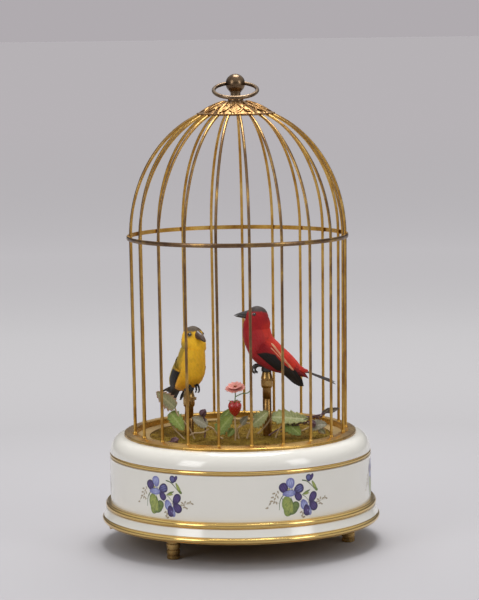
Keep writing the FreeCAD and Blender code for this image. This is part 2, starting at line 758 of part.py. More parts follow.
def make_head(bird):
    low = "neck_height + neck_gap"
    arm_room = "arm_thickness + 0.6"
    bore = rod(bird + "_head_bore", "spindle_radius", "spindle_top - neck_height", z="neck_height")
    cavity = block(bird + "_jaw_cavity", "jaw_x + 0.78", arm_room, "wire_travel + collar_gap + 1.2",
                   "(jaw_x - 0.78) / 2", "0", "spindle_top")
    mouth = block(bird + "_mouth", "8", "5.2", "4", "jaw_x + 3", "0", "beak_line + 0.1 - 4")
    pin = rod(bird + "_jaw_pin_hole", "pin_radius + running_gap", "5", "jaw_x", "-2.5", "jaw_z", TO_Y, 8)
    beak = make_upper_beak(bird + "_beak_room")
    head = head_form(bird + "_head_form")
    return cut(bird + "_head_cut", head, bore, cavity, mouth, pin, beak)


def make_lower_beak(bird):
    below = block(bird + "_below_gape", "60", "20", "10", z="beak_line - 10 - 0.1")
    cone = beak_form(bird + "_lower_cone", "jaw_x + 1.4", "beak_reach - 0.8")
    half = common(bird + "_lower_half", cone, below)
    end = "beak_collar_z + (collar_gap - 0.6) / 2"
    arm = side_plate(bird + "_jaw_arm", [
        ("0.47", end),
        ("4", end + " - 0.2"),
        ("jaw_x + 0.4", "jaw_z - 0.9"),
        ("jaw_x + 2.2", "jaw_z + 0.6"),
        ("jaw_x + 2.2", "beak_line - 0.1"),
        ("jaw_x + 1.2", "beak_line - 0.1"),
        ("4", end + " + 1"),
        ("0.47", end + " + 0.6"),
    ], "arm_thickness")
    pin = rod(bird + "_jaw_pin", "pin_radius", "4.6", "jaw_x", "-2.3", "jaw_z", TO_Y, 8)
    return join(bird + "_lower_beak_join", half, arm, pin)


def make_tail(bird):
    blade = plate(bird + "_tail_blade", [
        ("0", "2"),
        ("-tail_length * 0.6", "3"),
        ("-tail_length", "4.6"),
        ("-tail_length * 0.76", "0"),
        ("-tail_length", "-4.6"),
        ("-tail_length * 0.6", "-3"),
        ("0", "-2"),
    ], "0", "0.9")
    turn(blade, V(0, 1, 0), "-tail_slope")
    put(blade, "-tail_hinge_x - 6.7", "0", "tail_hinge_z - 5")
    end = "tail_collar_z + (collar_gap - 0.6) / 2"
    arm = side_plate(bird + "_tail_arm", [
        ("-0.47", end),
        ("-0.47", end + " + 0.6"),
        ("-tail_hinge_x + 1", "tail_hinge_z + 1"),
        ("-tail_hinge_x - 1", "tail_hinge_z + 0.6"),
        ("-tail_hinge_x - 7.2", "tail_hinge_z - 4.3"),
        ("-tail_hinge_x - 7", "tail_hinge_z - 5.1"),
        ("-tail_hinge_x", "tail_hinge_z - 1"),
        ("-6", end + " - 0.2"),
    ], "arm_thickness")
    pin = rod(bird + "_tail_pin", "pin_radius", "5", "-tail_hinge_x", "-2.5", "tail_hinge_z", TO_Y, 8)
    return join(bird + "_tail_join", blade, arm, pin)


def make_spindle(bird, crank_heading):
    """The tube that turns the head, with its window for the tail's arm and its crank."""
    low = "crank_z - %s_top" % bird
    outside = rod(bird + "_spindle_rod", "spindle_radius", "spindle_top - (%s)" % low, z=low, sides=12)
    window = block(bird + "_window", "2", "4", "wire_travel + 2.6", "-1.2", "0", "tail_collar_z - 0.9")
    windowed = cut(bird + "_windowed", outside, window)
    perched(windowed, bird, bird + "_heading")
    web = block(bird + "_crank_web", "crank_throw + 2.4", "2.4", "1.4", "crank_throw / 2", "0", low)
    pin = rod(bird + "_crank_pin", "0.9", "3.2", "crank_throw", "0", low + " - 3.2", sides=10)
    crank = perched(join(bird + "_crank", web, pin), bird, crank_heading)
    bore = rod(bird + "_spindle_hole", "spindle_bore", "200", bird + "_x", bird + "_y", "0", sides=8)
    return cut(bird + "_spindle_bored", join(bird + "_spindle_blank", windowed, crank), bore)


def make_pull_wire(bird):
    low = "song_z - 2 - %s_top" % bird
    high = "beak_collar_z + collar_gap + 0.35"
    parts = [rod(bird + "_wire", "pull_wire_radius", "%s - (%s)" % (high, low), z=low, sides=6)]
    heights = []
    for number, z in enumerate(("beak_collar_z", "tail_collar_z")):
        heights += ["%s - 0.35" % z, "%s + collar_gap" % z]
    for number, z in enumerate(heights):
        parts.append(rod("%s_collar_%d" % (bird, number), "collar_wire_radius", "0.35", z=z, sides=8))
    for number, z in enumerate(("song_z - 1.55 - %s_top", "song_z + 1.05 - %s_top")):
        parts.append(rod("%s_stop_%d" % (bird, number), "1.6", "0.5", z=z % bird, sides=8))
    return join(bird + "_pull_wire_join", *parts)


def make_bird(bird, crank_heading):
    heading = bird + "_heading"
    head_heading = "%s_heading + %s_head_yaw" % (bird, bird)
    node(make_post(bird), bird + "_post")
    node(perched(make_body(bird), bird, heading), bird + "_body")
    node(perched(make_wings(bird), bird, heading), bird + "_wings")
    node(perched(make_bird_feet(bird), bird, heading), bird + "_feet")
    node(perched(make_head(bird), bird, head_heading), bird + "_head")
    node(perched(make_upper_beak(bird + "_upper"), bird, head_heading), bird + "_upper_beak")
    node(perched(make_lower_beak(bird), bird, head_heading), bird + "_lower_beak")
    node(perched(make_tail(bird), bird, heading), bird + "_tail")
    node(make_spindle(bird, crank_heading), bird + "_spindle")
    node(perched(make_pull_wire(bird), bird, heading), bird + "_pull_wire")


make_bird("red", "post_angle + 180 deg")
make_bird("yellow", "post_angle")


# Leaves, berry and blossom round the perches

# Each leaf's base x and z, tip x and z, and width, with heights above the floor
LEAVES = [
    (-38.2, 18.4, -49.0, 29.0, 7.0),
    (-41.0, 15.7, -32.6, 5.7, 7.0),
    (-19.0, 7.6, -28.0, 13.4, 5.5),
    (-13.0, 2.7, -3.6, 15.3, 7.5),
    (0.5, 8.1, 4.1, 12.9, 3.5),
    (7.5, 7.2, 16.6, 16.2, 7.5),
    (18.2, 11.7, 41.0, 11.7, 8.0),
    (25.8, 9.2, 36.2, 1.7, 7.0),
    (41.3, 6.2, 51.4, 8.2, 6.0),
    (47.3, 13.5, 59.0, 17.7, 2.2),
]
LEAF_Y = -14.0
LEAF_LEAN = 3.0
LEAF_THICKNESS = 0.6
LEAF_PITCH = 35.0
# Shares of a leaf's length and of its half width
LEAF_OUTLINE = [(0.12, 0.75), (0.6, 0.95)]
STEM_RADIUS = "0.45"
# Places above the floor
BLOSSOM = (-2.4, -14.0, 27.7)
BERRY = (-2.9, -22.0, 14.2)
BUDS = [(-22.7, -14.0, 14.7), (-40.8, -16.0, 4.7)]


def above_floor(height):
    return "floor_top + %g" % height


def make_stem(name, x, y, height):
    foot = "recess_floor + moss_thickness"
    return rod(name, STEM_RADIUS, "%s - (%s)" % (above_floor(height), foot), str(x), str(y), foot, sides=6)


def make_vine_stems():
    stems = []
    for number, (base_x, base_z) in enumerate([leaf[:2] for leaf in LEAVES]):
        stems.append(make_stem("stem_%d" % number, base_x, LEAF_Y, base_z))
    for number, (x, y, z) in enumerate([BLOSSOM, BERRY] + BUDS):
        stems.append(make_stem("flower_stem_%d" % number, x, y, z))
    for number, (x, y, z) in enumerate(BUDS):
        bud = shaped("bud_%d" % number, [("0", "0", "0.7"), ("0", "2", "1.4"), ("0", "4.5", "0.4")], "6")
        stems.append(put(bud, str(x), str(y), above_floor(z)))
    return group("all_stems", *stems)


def make_leaves(stems):
    """Pointed leaves that face forwards and up, each between its base and its tip."""
    floor = size("floor_top")
    facing = V(0, -math.cos(math.radians(LEAF_PITCH)), math.sin(math.radians(LEAF_PITCH)))
    leaves = []
    for number, (base_x, base_z, tip_x, tip_z, width) in enumerate(LEAVES):
        base = V(base_x, LEAF_Y, floor + base_z)
        tip = V(tip_x, LEAF_Y - LEAF_LEAN, floor + tip_z)
        across = (tip - base).cross(facing).normalize() * (width / 2)
        upper = [base + (tip - base) * share + across * girth for share, girth in LEAF_OUTLINE]
        lower = [base + (tip - base) * share - across * girth for share, girth in reversed(LEAF_OUTLINE)]
        corners = [base] + upper + [tip] + lower + [base]
        thick = (tip - base).cross(across).normalize() * LEAF_THICKNESS
        leaf = add("Feature", "leaf_%d" % number)
        leaf.Shape = Part.Face(Part.makePolygon(corners)).extrude(thick)
        leaves.append(leaf)
    return cut("leaves_on_stems", group("all_leaves", *leaves), stems)


def make_berry():
    x, y, z = BERRY
    berry = shaped("berry", [("0", "0", "1.2"), ("0", "3", "3.6"), ("0", "6", "4.2"), ("0", "8.4", "1.6")], "10")
    return put(berry, str(x), str(y), above_floor(z))


def make_blossom():
    x, y, z = BLOSSOM
    petals = shaped("petals", [("0", "0", "1"), ("0", "2.2", "5.2"), ("0", "3.4", "5.4"), ("0", "5.2", "2.4")],
                    "10")
    return put(petals, str(x), str(y), above_floor(z))


stems = node(make_vine_stems(), "vine_stems")
node(make_leaves(stems), "leaves")
node(make_berry(), "strawberry")
node(make_blossom(), "blossom")


# Movement

PRESSURE_ANGLE = math.radians(20)


def tooth_half_angle(radius, pitch_radius, teeth):
    """Half of a tooth's angle at a radius, from the involute of its base circle."""
    base_radius = pitch_radius * math.cos(PRESSURE_ANGLE)
    slope = math.acos(base_radius / max(radius, base_radius))
    at_pitch = math.pi / (2 * teeth) - size("tooth_gap") / pitch_radius
    return at_pitch + math.tan(PRESSURE_ANGLE) - PRESSURE_ANGLE - math.tan(slope) + slope


def toothed(name, module, teeth, thickness, z, first_tooth):
    """A spur wheel or pinion with straight flanks between root and tip, about its own axis."""
    module = size(module)
    teeth = int(size(teeth))
    pitch_radius = module * teeth / 2
    root = pitch_radius - 1.15 * module
    tip = pitch_radius + 0.75 * module
    root_half = tooth_half_angle(root, pitch_radius, teeth)
    tip_half = tooth_half_angle(tip, pitch_radius, teeth)
    corners = []
    for number in range(teeth):
        middle = math.radians(size(first_tooth)) + 2 * math.pi * number / teeth
        for radius, turned_by in ((root, -root_half), (tip, -tip_half), (tip, tip_half), (root, root_half)):
            angle = middle + turned_by
            corners.append(V(radius * math.cos(angle), radius * math.sin(angle), 0))
    wheel = add("Feature", name)
    wheel.Shape = Part.Face(Part.makePolygon(corners + corners[:1])).extrude(V(0, 0, size(thickness)))
    return put(wheel, z=z)


def arbor(name, low, high):
    return rod(name, "arbor_radius", "%s - (%s)" % (high, low), z=low, sides=12)


PILLARS = [("%d * (movement_length / 2 - 8)" % a, "%d * (movement_width / 2 - 8)" % b)
           for a in (-1, 1) for b in (-1, 1)]
TRAIN = [("barrel_x", "barrel_y"), ("centre_x", "centre_y"), ("third_x", "third_y"), ("fly_x", "fly_y")]


def make_movement_plate(name, z):
    corner = "6"
    long_side = "movement_length / 2"
    short_side = "movement_width / 2"
    outline = []
    for a, b in ((1, 1), (-1, 1), (-1, -1), (1, -1)):
        first = ("%d * (%s)" % (a, long_side), "%d * (%s - %s)" % (b, short_side, corner))
        second = ("%d * (%s - %s)" % (a, long_side, corner), "%d * (%s)" % (b, short_side))
        outline += [first, second] if a * b > 0 else [second, first]
    blank = plate(name, outline, z, "movement_plate")
    holes = []
    for number, (x, y) in enumerate(TRAIN):
        holes.append(rod("%s_hole_%d" % (name, number), "hole_radius", "movement_plate", x, y, z, sides=12))
    for number, (x, y) in enumerate(PILLARS):
        holes.append(rod("%s_pillar_%d" % (name, number), "arbor_radius", "movement_plate", x, y, z, sides=8))
    return cut(name + "_pierced", blank, *holes)


def make_pillars():
    low = "foot_height + bottom_plate_thickness"
    pillars = []
    for number, (x, y) in enumerate(PILLARS):
        stud = rod("pillar_stud_%d" % number, "arbor_radius", "movement_top + 2 - (%s)" % low, x, y, low, sides=8)
        spacer = rod("pillar_spacer_%d" % number, "3", "movement_bottom - (%s)" % low, x, y, low, sides=8)
        shoulder = rod("pillar_shoulder_%d" % number, "3", "pillar_height", x, y,
                       "movement_bottom + movement_plate", sides=8)
        nut = rod("pillar_nut_%d" % number, "2.6", "2", x, y, "movement_top", sides=6)
        pillars.append(join("pillar_%d" % number, stud, spacer, shoulder, nut))
    return group("four_pillars", *pillars)


def make_barrel():
    drum = rod("drum", "barrel_radius", "11", z="movement_bottom + 6", sides=24)
    wheel = toothed("great_teeth_ring", "great_module", "great_teeth", "1.5", "movement_bottom + 4.5",
                    "great_angle")
    bore = rod("barrel_bore", "hole_radius", "14", z="movement_bottom + 4", sides=12)
    return put(cut("barrel", join("barrel_blank", drum, wheel), bore), "barrel_x", "barrel_y")


def make_winding_arbor():
    shaft = arbor("winding_shaft", "key_top - 7", "movement_top")
    ratchet = toothed("ratchet", "0.8", "14", "1.4", "foot_height + bottom_plate_thickness + 0.9", "0")
    return put(join("winding_join", shaft, ratchet), "barrel_x", "barrel_y")


def make_winding_key():
    hub = rod("key_hub", "3", "9.5", z="key_top - 9.5", sides=12)
    wings = []
    for side in (-1, 1):
        middle = "%d * (key_span / 2 - 5.5)" % side
        wing = rod("key_wing_%d" % (side + 1), "5.5", "2", middle, "-1", "key_top - 5", TO_Y, 12)
        hole = rod("key_eye_%d" % (side + 1), "2.4", "2", middle, "-1", "key_top - 5", TO_Y, 8)
        wings.append(cut("key_wing_pierced_%d" % (side + 1), wing, hole))
    web = block("key_web", "key_span - 20", "2", "4", z="key_top - 7")
    bore = rod("key_bore", "arbor_radius", "7", z="key_top - 7", sides=12)
    return put(cut("key", join("key_blank", hub, web, *wings), bore), "barrel_x", "barrel_y")


def make_click():
    level = "foot_height + bottom_plate_thickness + 0.9"
    boss = rod("pawl_boss", "2", "1.4", z=level, sides=8)
    nose = block("pawl_nose", "6.5", "1.8", "1.4", "3.2", "0.6", level)
    pivot = rod("pawl_pivot", "0.8", "movement_bottom - (%s)" % level, z=level, sides=8)
    pawl = turn(join("pawl", boss, nose, pivot), V(0, 0, 1), "-click_slope")
    return put(pawl, "barrel_x - 1", "barrel_y + 9.3")


def make_centre_wheel():
    shaft = arbor("centre_shaft", "movement_bottom + 0.3", "movement_top + 12")
    pinion = toothed("centre_pinion", "great_module", "centre_pinion_teeth", "3", "movement_bottom + 3.7",
                     "great_angle + 180 deg + 180 deg / centre_pinion_teeth")
    wheel = toothed("centre_teeth_ring", "centre_module", "centre_teeth", "1.2", "movement_bottom + 19", "180")
    return put(join("centre_join", shaft, pinion, wheel), "centre_x", "centre_y")


def make_third_wheel():
    shaft = arbor("third_shaft", "movement_bottom + 0.3", "movement_top")
    pinion = toothed("third_pinion", "centre_module", "third_pinion_teeth", "3", "movement_bottom + 18",
                     "180 / third_pinion_teeth")
    wheel = toothed("third_teeth_ring", "third_module", "third_teeth", "1.2", "movement_bottom + 14",
                    "fly_angle")
    return put(join("third_join", shaft, pinion, wheel), "third_x", "third_y")


def make_fly():
    shaft = arbor("fly_shaft", "movement_bottom + 0.3", "movement_top")
    pinion = toothed("fly_pinion", "third_module", "fly_pinion_teeth", "2.4", "movement_bottom + 13.4",
                     "fly_angle + 180 deg + 180 deg / fly_pinion_teeth")
    vanes = block("fly_vanes", "14.6", "1", "7", z="movement_bottom + 5")
    return put(join("fly_join", shaft, pinion, vanes), "fly_x", "fly_y")


def make_cam_stack():
    heart = []
    for step in range(12):
        angle = 30 * step
        reach = "cam_radius * %.3f" % (0.8 + 0.2 * math.cos(math.radians(angle)) ** 2)
        heart.append(("%s * cos(%d)" % (reach, angle), "%s * sin(%d)" % (reach, angle)))
    turning = plate("turning_cam", heart, "lever_z - 0.7", "1.4")
    face = rod("face_cam", "face_cam_radius", "1.5", z="lever_z + 2.2", sides=24)
    teeth = []
    for number in range(5):
        x, y = polar("face_cam_radius - 1.2", "72 * %d" % number)
        teeth.append(rod("face_cam_tooth_%d" % number, "1", "0.8", x, y, "lever_z + 1.4", sides=8))
    boss = rod("cam_boss", "3", "4.4", z="lever_z - 0.7", sides=12)
    bore = rod("cam_bore", "arbor_radius", "12", z="lever_z - 2", sides=12)
    return put(cut("cams", join("cams_blank", turning, face, boss, *teeth), bore), "centre_x", "centre_y")


def between_posts(item):
    """Place a piece whose x axis runs from the yellow post to the red one."""
    turn(item, V(0, 0, 1), "post_angle")
    return put(item, "mid_x", "mid_y")


def make_lever_cocks():
    stud = rod("turn_stud", "arbor_radius", "lever_z + 1 - movement_top", z="movement_top", sides=12)
    cocks = [stud]
    for side in (-1, 1):
        cock = block("song_cock_%d" % (side + 1), "2", "5", "song_z + 2 - movement_top",
                     "%d * (post_step / 2 + 2.7)" % side, "song_arm", "movement_top")
        hole = rod("song_cock_hole_%d" % (side + 1), "1 + running_gap", "6",
                   "%d * (post_step / 2 + 2.7) - 3" % side, "song_arm", "song_z", TO_X, 10)
        cocks.append(cut("song_cock_bored_%d" % (side + 1), cock, hole))
    return between_posts(group("cocks", *cocks))


def make_turn_lever():
    level = "lever_z - 0.7"
    bar = block("turn_bar", "fork_reach * 2 + 3", "5", "1.4", z=level)
    boss = rod("turn_boss", "3.4", "1.4", z=level, sides=12)
    reach = "sqrt((cam_x + cam_radius + cam_clearance)^2 + cam_y^2)"
    follower = block("turn_follower", reach, "2.2", "1.4", "(%s) / 2" % reach, "0", level)
    turn(follower, V(0, 0, 1), "atan2(cam_y; cam_x + cam_radius + cam_clearance)")
    follower_x = "-1.1 * sin(atan2(cam_y; cam_x + cam_radius + cam_clearance))"
    follower.setExpression(".Placement.Base.x", bound("0 - (%s)" % follower_x))
    follower.setExpression(".Placement.Base.y", bound("-1.1 * cos(atan2(cam_y; cam_x + cam_radius + cam_clearance))"))
    cuts = [rod("turn_bore", "hole_radius", "4", z="lever_z - 2", sides=12)]
    for side in (-1, 1):
        cuts.append(block("fork_slot_%d" % (side + 1), "5", "2.3", "4", "%d * (fork_reach + 0.9)" % side, "0",
                          "lever_z - 2"))
    return between_posts(cut("turn_lever_cut", join("turn_lever_blank", bar, boss, follower), *cuts))


def make_song_lever():
    span = "post_step + 7.4"
    shaft = rod("song_shaft", "1", span, "-(%s) / 2" % span, "song_arm", "song_z", TO_X, 10)
    parts = [shaft]
    slots = []
    for side in (-1, 1):
        x = "%d * post_step / 2" % side
        parts.append(block("song_arm_%d" % (side + 1), "3", "song_arm + 1.6", "1.2", x, "(song_arm - 1.6) / 2",
                           "song_z - 0.6"))
        slots.append(block("song_slot_%d" % (side + 1), "1.2", "4", "4", x, "-1", "song_z - 2"))
    finger_y = "cam_y - face_cam_radius + 1.4"
    parts.append(block("song_finger", "2", "%s - song_arm + 1" % finger_y, "1.2", "cam_x",
                       "(%s + song_arm + 1) / 2" % finger_y, "song_z - 0.6"))
    parts.append(block("song_riser", "2", "1.6", "lever_z + 0.8 - song_z", "cam_x", finger_y + " + 0.2", "song_z"))
    return between_posts(cut("song_lever_cut", join("song_lever_blank", *parts), *slots))


def make_bellows_base():
    return block("bellows_base_block", "bellows_length", "bellows_width", "2", "bellows_x + bellows_length / 2",
                 "bellows_y", "movement_bottom + movement_plate")


def make_bellows_board():
    board = block("bellows_board_block", "bellows_length", "bellows_width", "1.5", "bellows_length / 2")
    turn(board, V(0, 1, 0), "-bellows_angle")
    board.setExpression(".Placement.Base.y", bound("bellows_y - bellows_width / 2"))
    board.setExpression(".Placement.Base.x", bound("bellows_x"))
    board.setExpression(".Placement.Base.z", bound("movement_bottom + movement_plate + 3.6"))
    return board


def make_bellows_leather():
    low = "movement_bottom + movement_plate + 2"
    wedge = side_plate("bellows_wedge", [
        ("bellows_x + 1", low),
        ("bellows_x + bellows_length - 1", low),
        ("bellows_x + bellows_length - 1", low + " + 1.5 + (bellows_length - 1) * tan(bellows_angle)"),
        ("bellows_x + 1", low + " + 1.5 + tan(bellows_angle)"),
    ], "bellows_width - 2")
    return put(wedge, "0", "bellows_y")


def whistle_rod(name, radius, start, length, sides=0):
    return rod(name, radius, length, start, "bellows_y", "movement_bottom + movement_plate + whistle_radius",
               TO_X, sides)


def make_whistle_tube():
    pipe_start = "bellows_x + bellows_length"
    start = pipe_start + " + 19"
    outside = whistle_rod("whistle_outside", "whistle_radius", start, "whistle_length", 16)
    pipe = rod("whistle_pipe", "1", "20", pipe_start, "bellows_y", "movement_bottom + movement_plate + 1", TO_X, 8)
    bore = whistle_rod("whistle_hole", "whistle_bore", start + " + 3", "whistle_length", 16)
    window = block("whistle_window", "3", "4", "6", start + " + 6", "bellows_y",
                   "movement_bottom + movement_plate + whistle_radius")
    return cut("whistle", join("whistle_blank", outside, pipe), bore, window)


def make_whistle_piston():
    end = "bellows_x + bellows_length + 19 + whistle_length"
    plunger = whistle_rod("plunger", "whistle_bore - running_gap", end + " - 12", "8", 16)
    stem = whistle_rod("plunger_stem", "1", end + " - 4", "8", 8)
    return join("piston", plunger, stem)


def make_start_lever():
    outward = "atan2(start_y; start_x)"
    strip = block("start_strip", "start_reach", "3.6", "1.5", "start_reach / 2 - 1", z="foot_height - 2.6")
    tip = block("start_tip", "1.5", "3.6", "3.6", "start_reach - 1", z="foot_height - 3.7")
    outside = join("start_outside", strip, tip)
    turn(outside, V(0, 0, 1), outward)
    post = rod("start_post", "arbor_radius", "movement_bottom + 7 - (foot_height - 2.6)", z="foot_height - 2.6",
               sides=12)
    to_fly = "sqrt((fly_x - start_x)^2 + (fly_y - start_y)^2) - 8"
    finger = bind(add("Box", "start_finger"), Length=to_fly, Width="1.6", Height="1")
    turn(finger, V(0, 0, 1), "atan2(fly_y - start_y; fly_x - start_x)")
    put(finger, z="movement_bottom + 6")
    return put(join("start_lever_join", outside, post, finger), "start_x", "start_y")


node(make_movement_plate("lower_plate", "movement_bottom"), "lower_movement_plate")
node(make_movement_plate("upper_plate", "movement_upper"), "upper_movement_plate")
node(make_pillars(), "movement_pillars")
node(make_barrel(), "mainspring_barrel")
node(make_winding_arbor(), "winding_arbor")
node(make_winding_key(), "winding_key")
node(make_click(), "click")
node(make_centre_wheel(), "centre_wheel")
node(make_third_wheel(), "third_wheel")
node(make_fly(), "governor_fly")
node(make_cam_stack(), "cam_stack")
node(make_lever_cocks(), "lever_cocks")
node(make_turn_lever(), "turn_lever")
node(make_song_lever(), "song_lever")
node(make_bellows_base(), "bellows_base")
node(make_bellows_leather(), "bellows_leather")
node(make_bellows_board(), "bellows_board")
node(make_whistle_tube(), "whistle_tube")
node(make_whistle_piston(), "whistle_piston")
node(make_start_lever(), "start_lever")


# Every object is checked before the sub-parts are written

def write_parts():
    doc.recompute()
    for item in doc.Objects:
        if "Invalid" in item.State or "Error" in item.State:
            raise RuntimeError("%s did not build: %s" % (item.Name, item.State))
    os.makedirs("parts", exist_ok=True)
    for item in NODES:
        if item.Shape.isNull() or not item.Shape.isValid():
            raise RuntimeError("%s has no valid shape" % item.Label)
        item.Shape.exportStep(os.path.join("parts", item.Label + ".step"))


write_parts()
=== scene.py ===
import random
from functools import partial
from math import acos, atan2, copysign, cos, degrees, exp, pi, radians, sin, sqrt

import bmesh
import bpy
from mathutils import Matrix, Vector, noise


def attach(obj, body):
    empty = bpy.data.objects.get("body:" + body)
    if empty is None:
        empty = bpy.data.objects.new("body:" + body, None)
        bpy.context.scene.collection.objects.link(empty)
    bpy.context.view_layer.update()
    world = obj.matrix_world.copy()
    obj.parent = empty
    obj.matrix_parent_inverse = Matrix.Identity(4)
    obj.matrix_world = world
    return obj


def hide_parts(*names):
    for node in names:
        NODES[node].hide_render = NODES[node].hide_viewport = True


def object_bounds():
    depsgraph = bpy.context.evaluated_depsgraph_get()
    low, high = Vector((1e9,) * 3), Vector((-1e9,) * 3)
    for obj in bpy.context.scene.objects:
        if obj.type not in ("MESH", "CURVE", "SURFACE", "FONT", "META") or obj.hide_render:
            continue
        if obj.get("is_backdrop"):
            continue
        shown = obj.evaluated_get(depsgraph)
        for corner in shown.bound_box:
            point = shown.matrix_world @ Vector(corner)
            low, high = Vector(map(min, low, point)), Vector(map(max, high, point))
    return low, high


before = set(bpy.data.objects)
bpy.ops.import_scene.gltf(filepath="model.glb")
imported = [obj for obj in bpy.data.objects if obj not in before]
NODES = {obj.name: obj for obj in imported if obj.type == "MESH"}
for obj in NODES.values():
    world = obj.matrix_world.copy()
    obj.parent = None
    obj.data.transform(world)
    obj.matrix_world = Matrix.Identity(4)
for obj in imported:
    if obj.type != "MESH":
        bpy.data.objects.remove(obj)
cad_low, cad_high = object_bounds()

random.seed(7)
MM = 0.001
TURN = 2 * pi

# Sizes from the model, in millimetres

LOWER_BEAD = 83.0
LOWER_BEAD_BORE = 79.4
MIDDLE_BEAD = 80.9
MIDDLE_BEAD_TOP = 26.2
BEAD_SIDES = (-72, 72)
FOOT_HEIGHT = 14.1
FOOT_CIRCLE = 64.3
FOOT_BEARING = -38
FOOT_COUNT = 3
SKIRT_BOTTOM = 17.9
SKIRT_TOP = 22.4
BAND_RADIUS = 77.8
WALL = 3.0
BAND_TOP = 52.5
SHOULDER_BOTTOM = 55.5
SHELL_TOP = 65.3
LEDGE_TOP = 61.8
LEDGE_BOTTOM = 50.6
RING_BOTTOM = 64.3
RING_TOP = 67.8
RIM_RADIUS = 68.8
RING_BORE = 61.8
POST_FOOT = 61.5
MOSS_RADIUS = 54.0
MOSS_TOP = 63.7
WIRE_COUNT = 21
WIRE_BEARING = 6.0
WIRE_RADIUS = 0.9
WIRE_FOOT = 63.2
CAGE_RADIUS = 64.0
DOME_Z = 182.9
DOME_HEIGHT = 76.5
CROWN_RADIUS = 20.5
CAP_RADIUS = 23.2
CAP_EDGE = 255.8
CAP_TOP = 263.37
CAP_SHEET = 0.5
BALL_Z = 272.82
BALL_RADIUS = 5.75
BORE_Z = 273.07
BORE_RADIUS = 1.4
HANGER_RADIUS = 12.75
HANGER_WIRE = 1.12
HANGER_DROP = 0.6
HANGER_LEAN = 18.5
BIRDS = {
    "red": {"x": 16.3, "y": -2.1, "top": 101.8, "heading": 180.0, "head": 180.0},
    "yellow": {"x": -30.3, "y": 3.7, "top": 90.2, "heading": -66.0, "head": -54.0},
}


# Meshes

def new_piece(name, bm, material):
    """An object that takes over the shapes of a bmesh."""
    mesh = bpy.data.meshes.new(name)
    bm.to_mesh(mesh)
    bm.free()
    mesh.materials.append(material)
    piece = bpy.data.objects.new(name, mesh)
    bpy.context.scene.collection.objects.link(piece)
    return piece


def finish_mesh(name, bm, material, sharp=38):
    """An object from a mesh, smooth but for the edges that bend by more than the sharp angle."""
    bmesh.ops.recalc_face_normals(bm, faces=bm.faces)
    for face in bm.faces:
        face.smooth = True
    piece = new_piece(name, bm, material)
    piece.data.set_sharp_from_angle(angle=radians(sharp))
    return piece


def polar(radius, bearing):
    """x and y at a bearing counted from the front towards +X."""
    angle = radians(bearing)
    return radius * sin(angle), -radius * cos(angle)


def skin(bm, rings, closed=True):
    """Faces between each row of corners and the next."""
    count = len(rings[0])
    for low, high in zip(rings, rings[1:]):
        for step in range(count if closed else count - 1):
            after = (step + 1) % count
            bm.faces.new((low[step], low[after], high[after], high[step]))


def move_new(bm, before, matrix):
    """Move the corners that were added after the first ones."""
    bm.verts.ensure_lookup_table()
    bmesh.ops.transform(bm, matrix=matrix, verts=bm.verts[before:])


def add_lathe(bm, outline, sides=160, closed=True):
    """Turn an outline of radii and heights about Z."""
    rings = []
    for step in range(sides):
        angle = TURN * step / sides
        rings.append([bm.verts.new((radius * MM * cos(angle), radius * MM * sin(angle), z * MM))
                      for radius, z in outline])
    count = len(outline)
    runs = count if closed else count - 1
    for step in range(sides):
        here, after = rings[step], rings[(step + 1) % sides]
        for number in range(runs):
            further = (number + 1) % count
            bm.faces.new((here[number], after[number], after[further], here[further]))
    if not closed:
        for number in (0, count - 1):
            bm.faces.new([ring[number] for ring in rings])


def lathe(name, outline, material, sides=240, closed=True):
    """A turned object."""
    bm = bmesh.new()
    add_lathe(bm, outline, sides, closed)
    return finish_mesh(name, bm, material)


def arc(centre_r, centre_z, radius, start, end, steps):
    """Points of an arc in the plane of radius and height."""
    points = []
    for step in range(steps + 1):
        angle = radians(start + (end - start) * step / steps)
        points.append((centre_r + radius * cos(angle), centre_z + radius * sin(angle)))
    return points


def add_tube(bm, points, radius, sides=10, closed=False):
    """A round tube along points in millimetres. The radius may be one number or one for each point."""
    count = len(points)
    points = [Vector(point) for point in points]
    radii = radius if isinstance(radius, list) else [radius] * count
    rings = []
    normal = None
    for number, point in enumerate(points):
        before = points[number - 1] if number or closed else point
        after = points[(number + 1) % count] if number < count - 1 or closed else point
        along = (after - before).normalized()
        if normal is None:
            normal = along.orthogonal().normalized()
        normal = (normal - along * normal.dot(along)).normalized()
        side = along.cross(normal)
        ring = []
        for step in range(sides):
            angle = TURN * step / sides
            spot = point + (normal * cos(angle) + side * sin(angle)) * radii[number]
            ring.append(bm.verts.new(spot * MM))
        rings.append(ring)
    skin(bm, rings + rings[:1] if closed else rings)
    if not closed:
        bm.faces.new(rings[0])
        bm.faces.new(rings[-1])


def smooth_path(points, steps=6):
    """Points of a Catmull-Rom curve through the given points."""
    points = [Vector(point) for point in points]
    ends = [points[0] * 2 - points[1]] + points + [points[-1] * 2 - points[-2]]
    path = []
    for number in range(len(points) - 1):
        a, b, c, d = ends[number:number + 4]
        for step in range(steps):
            t = step / steps
            path.append(0.5 * (2 * b + (c - a) * t + (2 * a - 5 * b + 4 * c - d) * t * t
                               + (3 * b - a - 3 * c + d) * t ** 3))
    return path + [points[-1]]


# Materials

def mix_colour(first, second, share):
    """A colour at a share of the way from the first to the second."""
    share = max(0.0, min(1.0, share))
    return tuple(a + (b - a) * share for a, b in zip(first, second))


def step_between(low, high, value):
    """A smooth step from 0 at the low value to 1 at the high one."""
    share = max(0.0, min(1.0, (value - low) / (high - low)))
    return share * share * (3 - 2 * share)


PAINT_LAYER = "Plume"
TONE_PLACES = {2: (0.3, 0.7), 3: (0.25, 0.5, 0.8)}
SPECULAR = "Specular IOR Level"


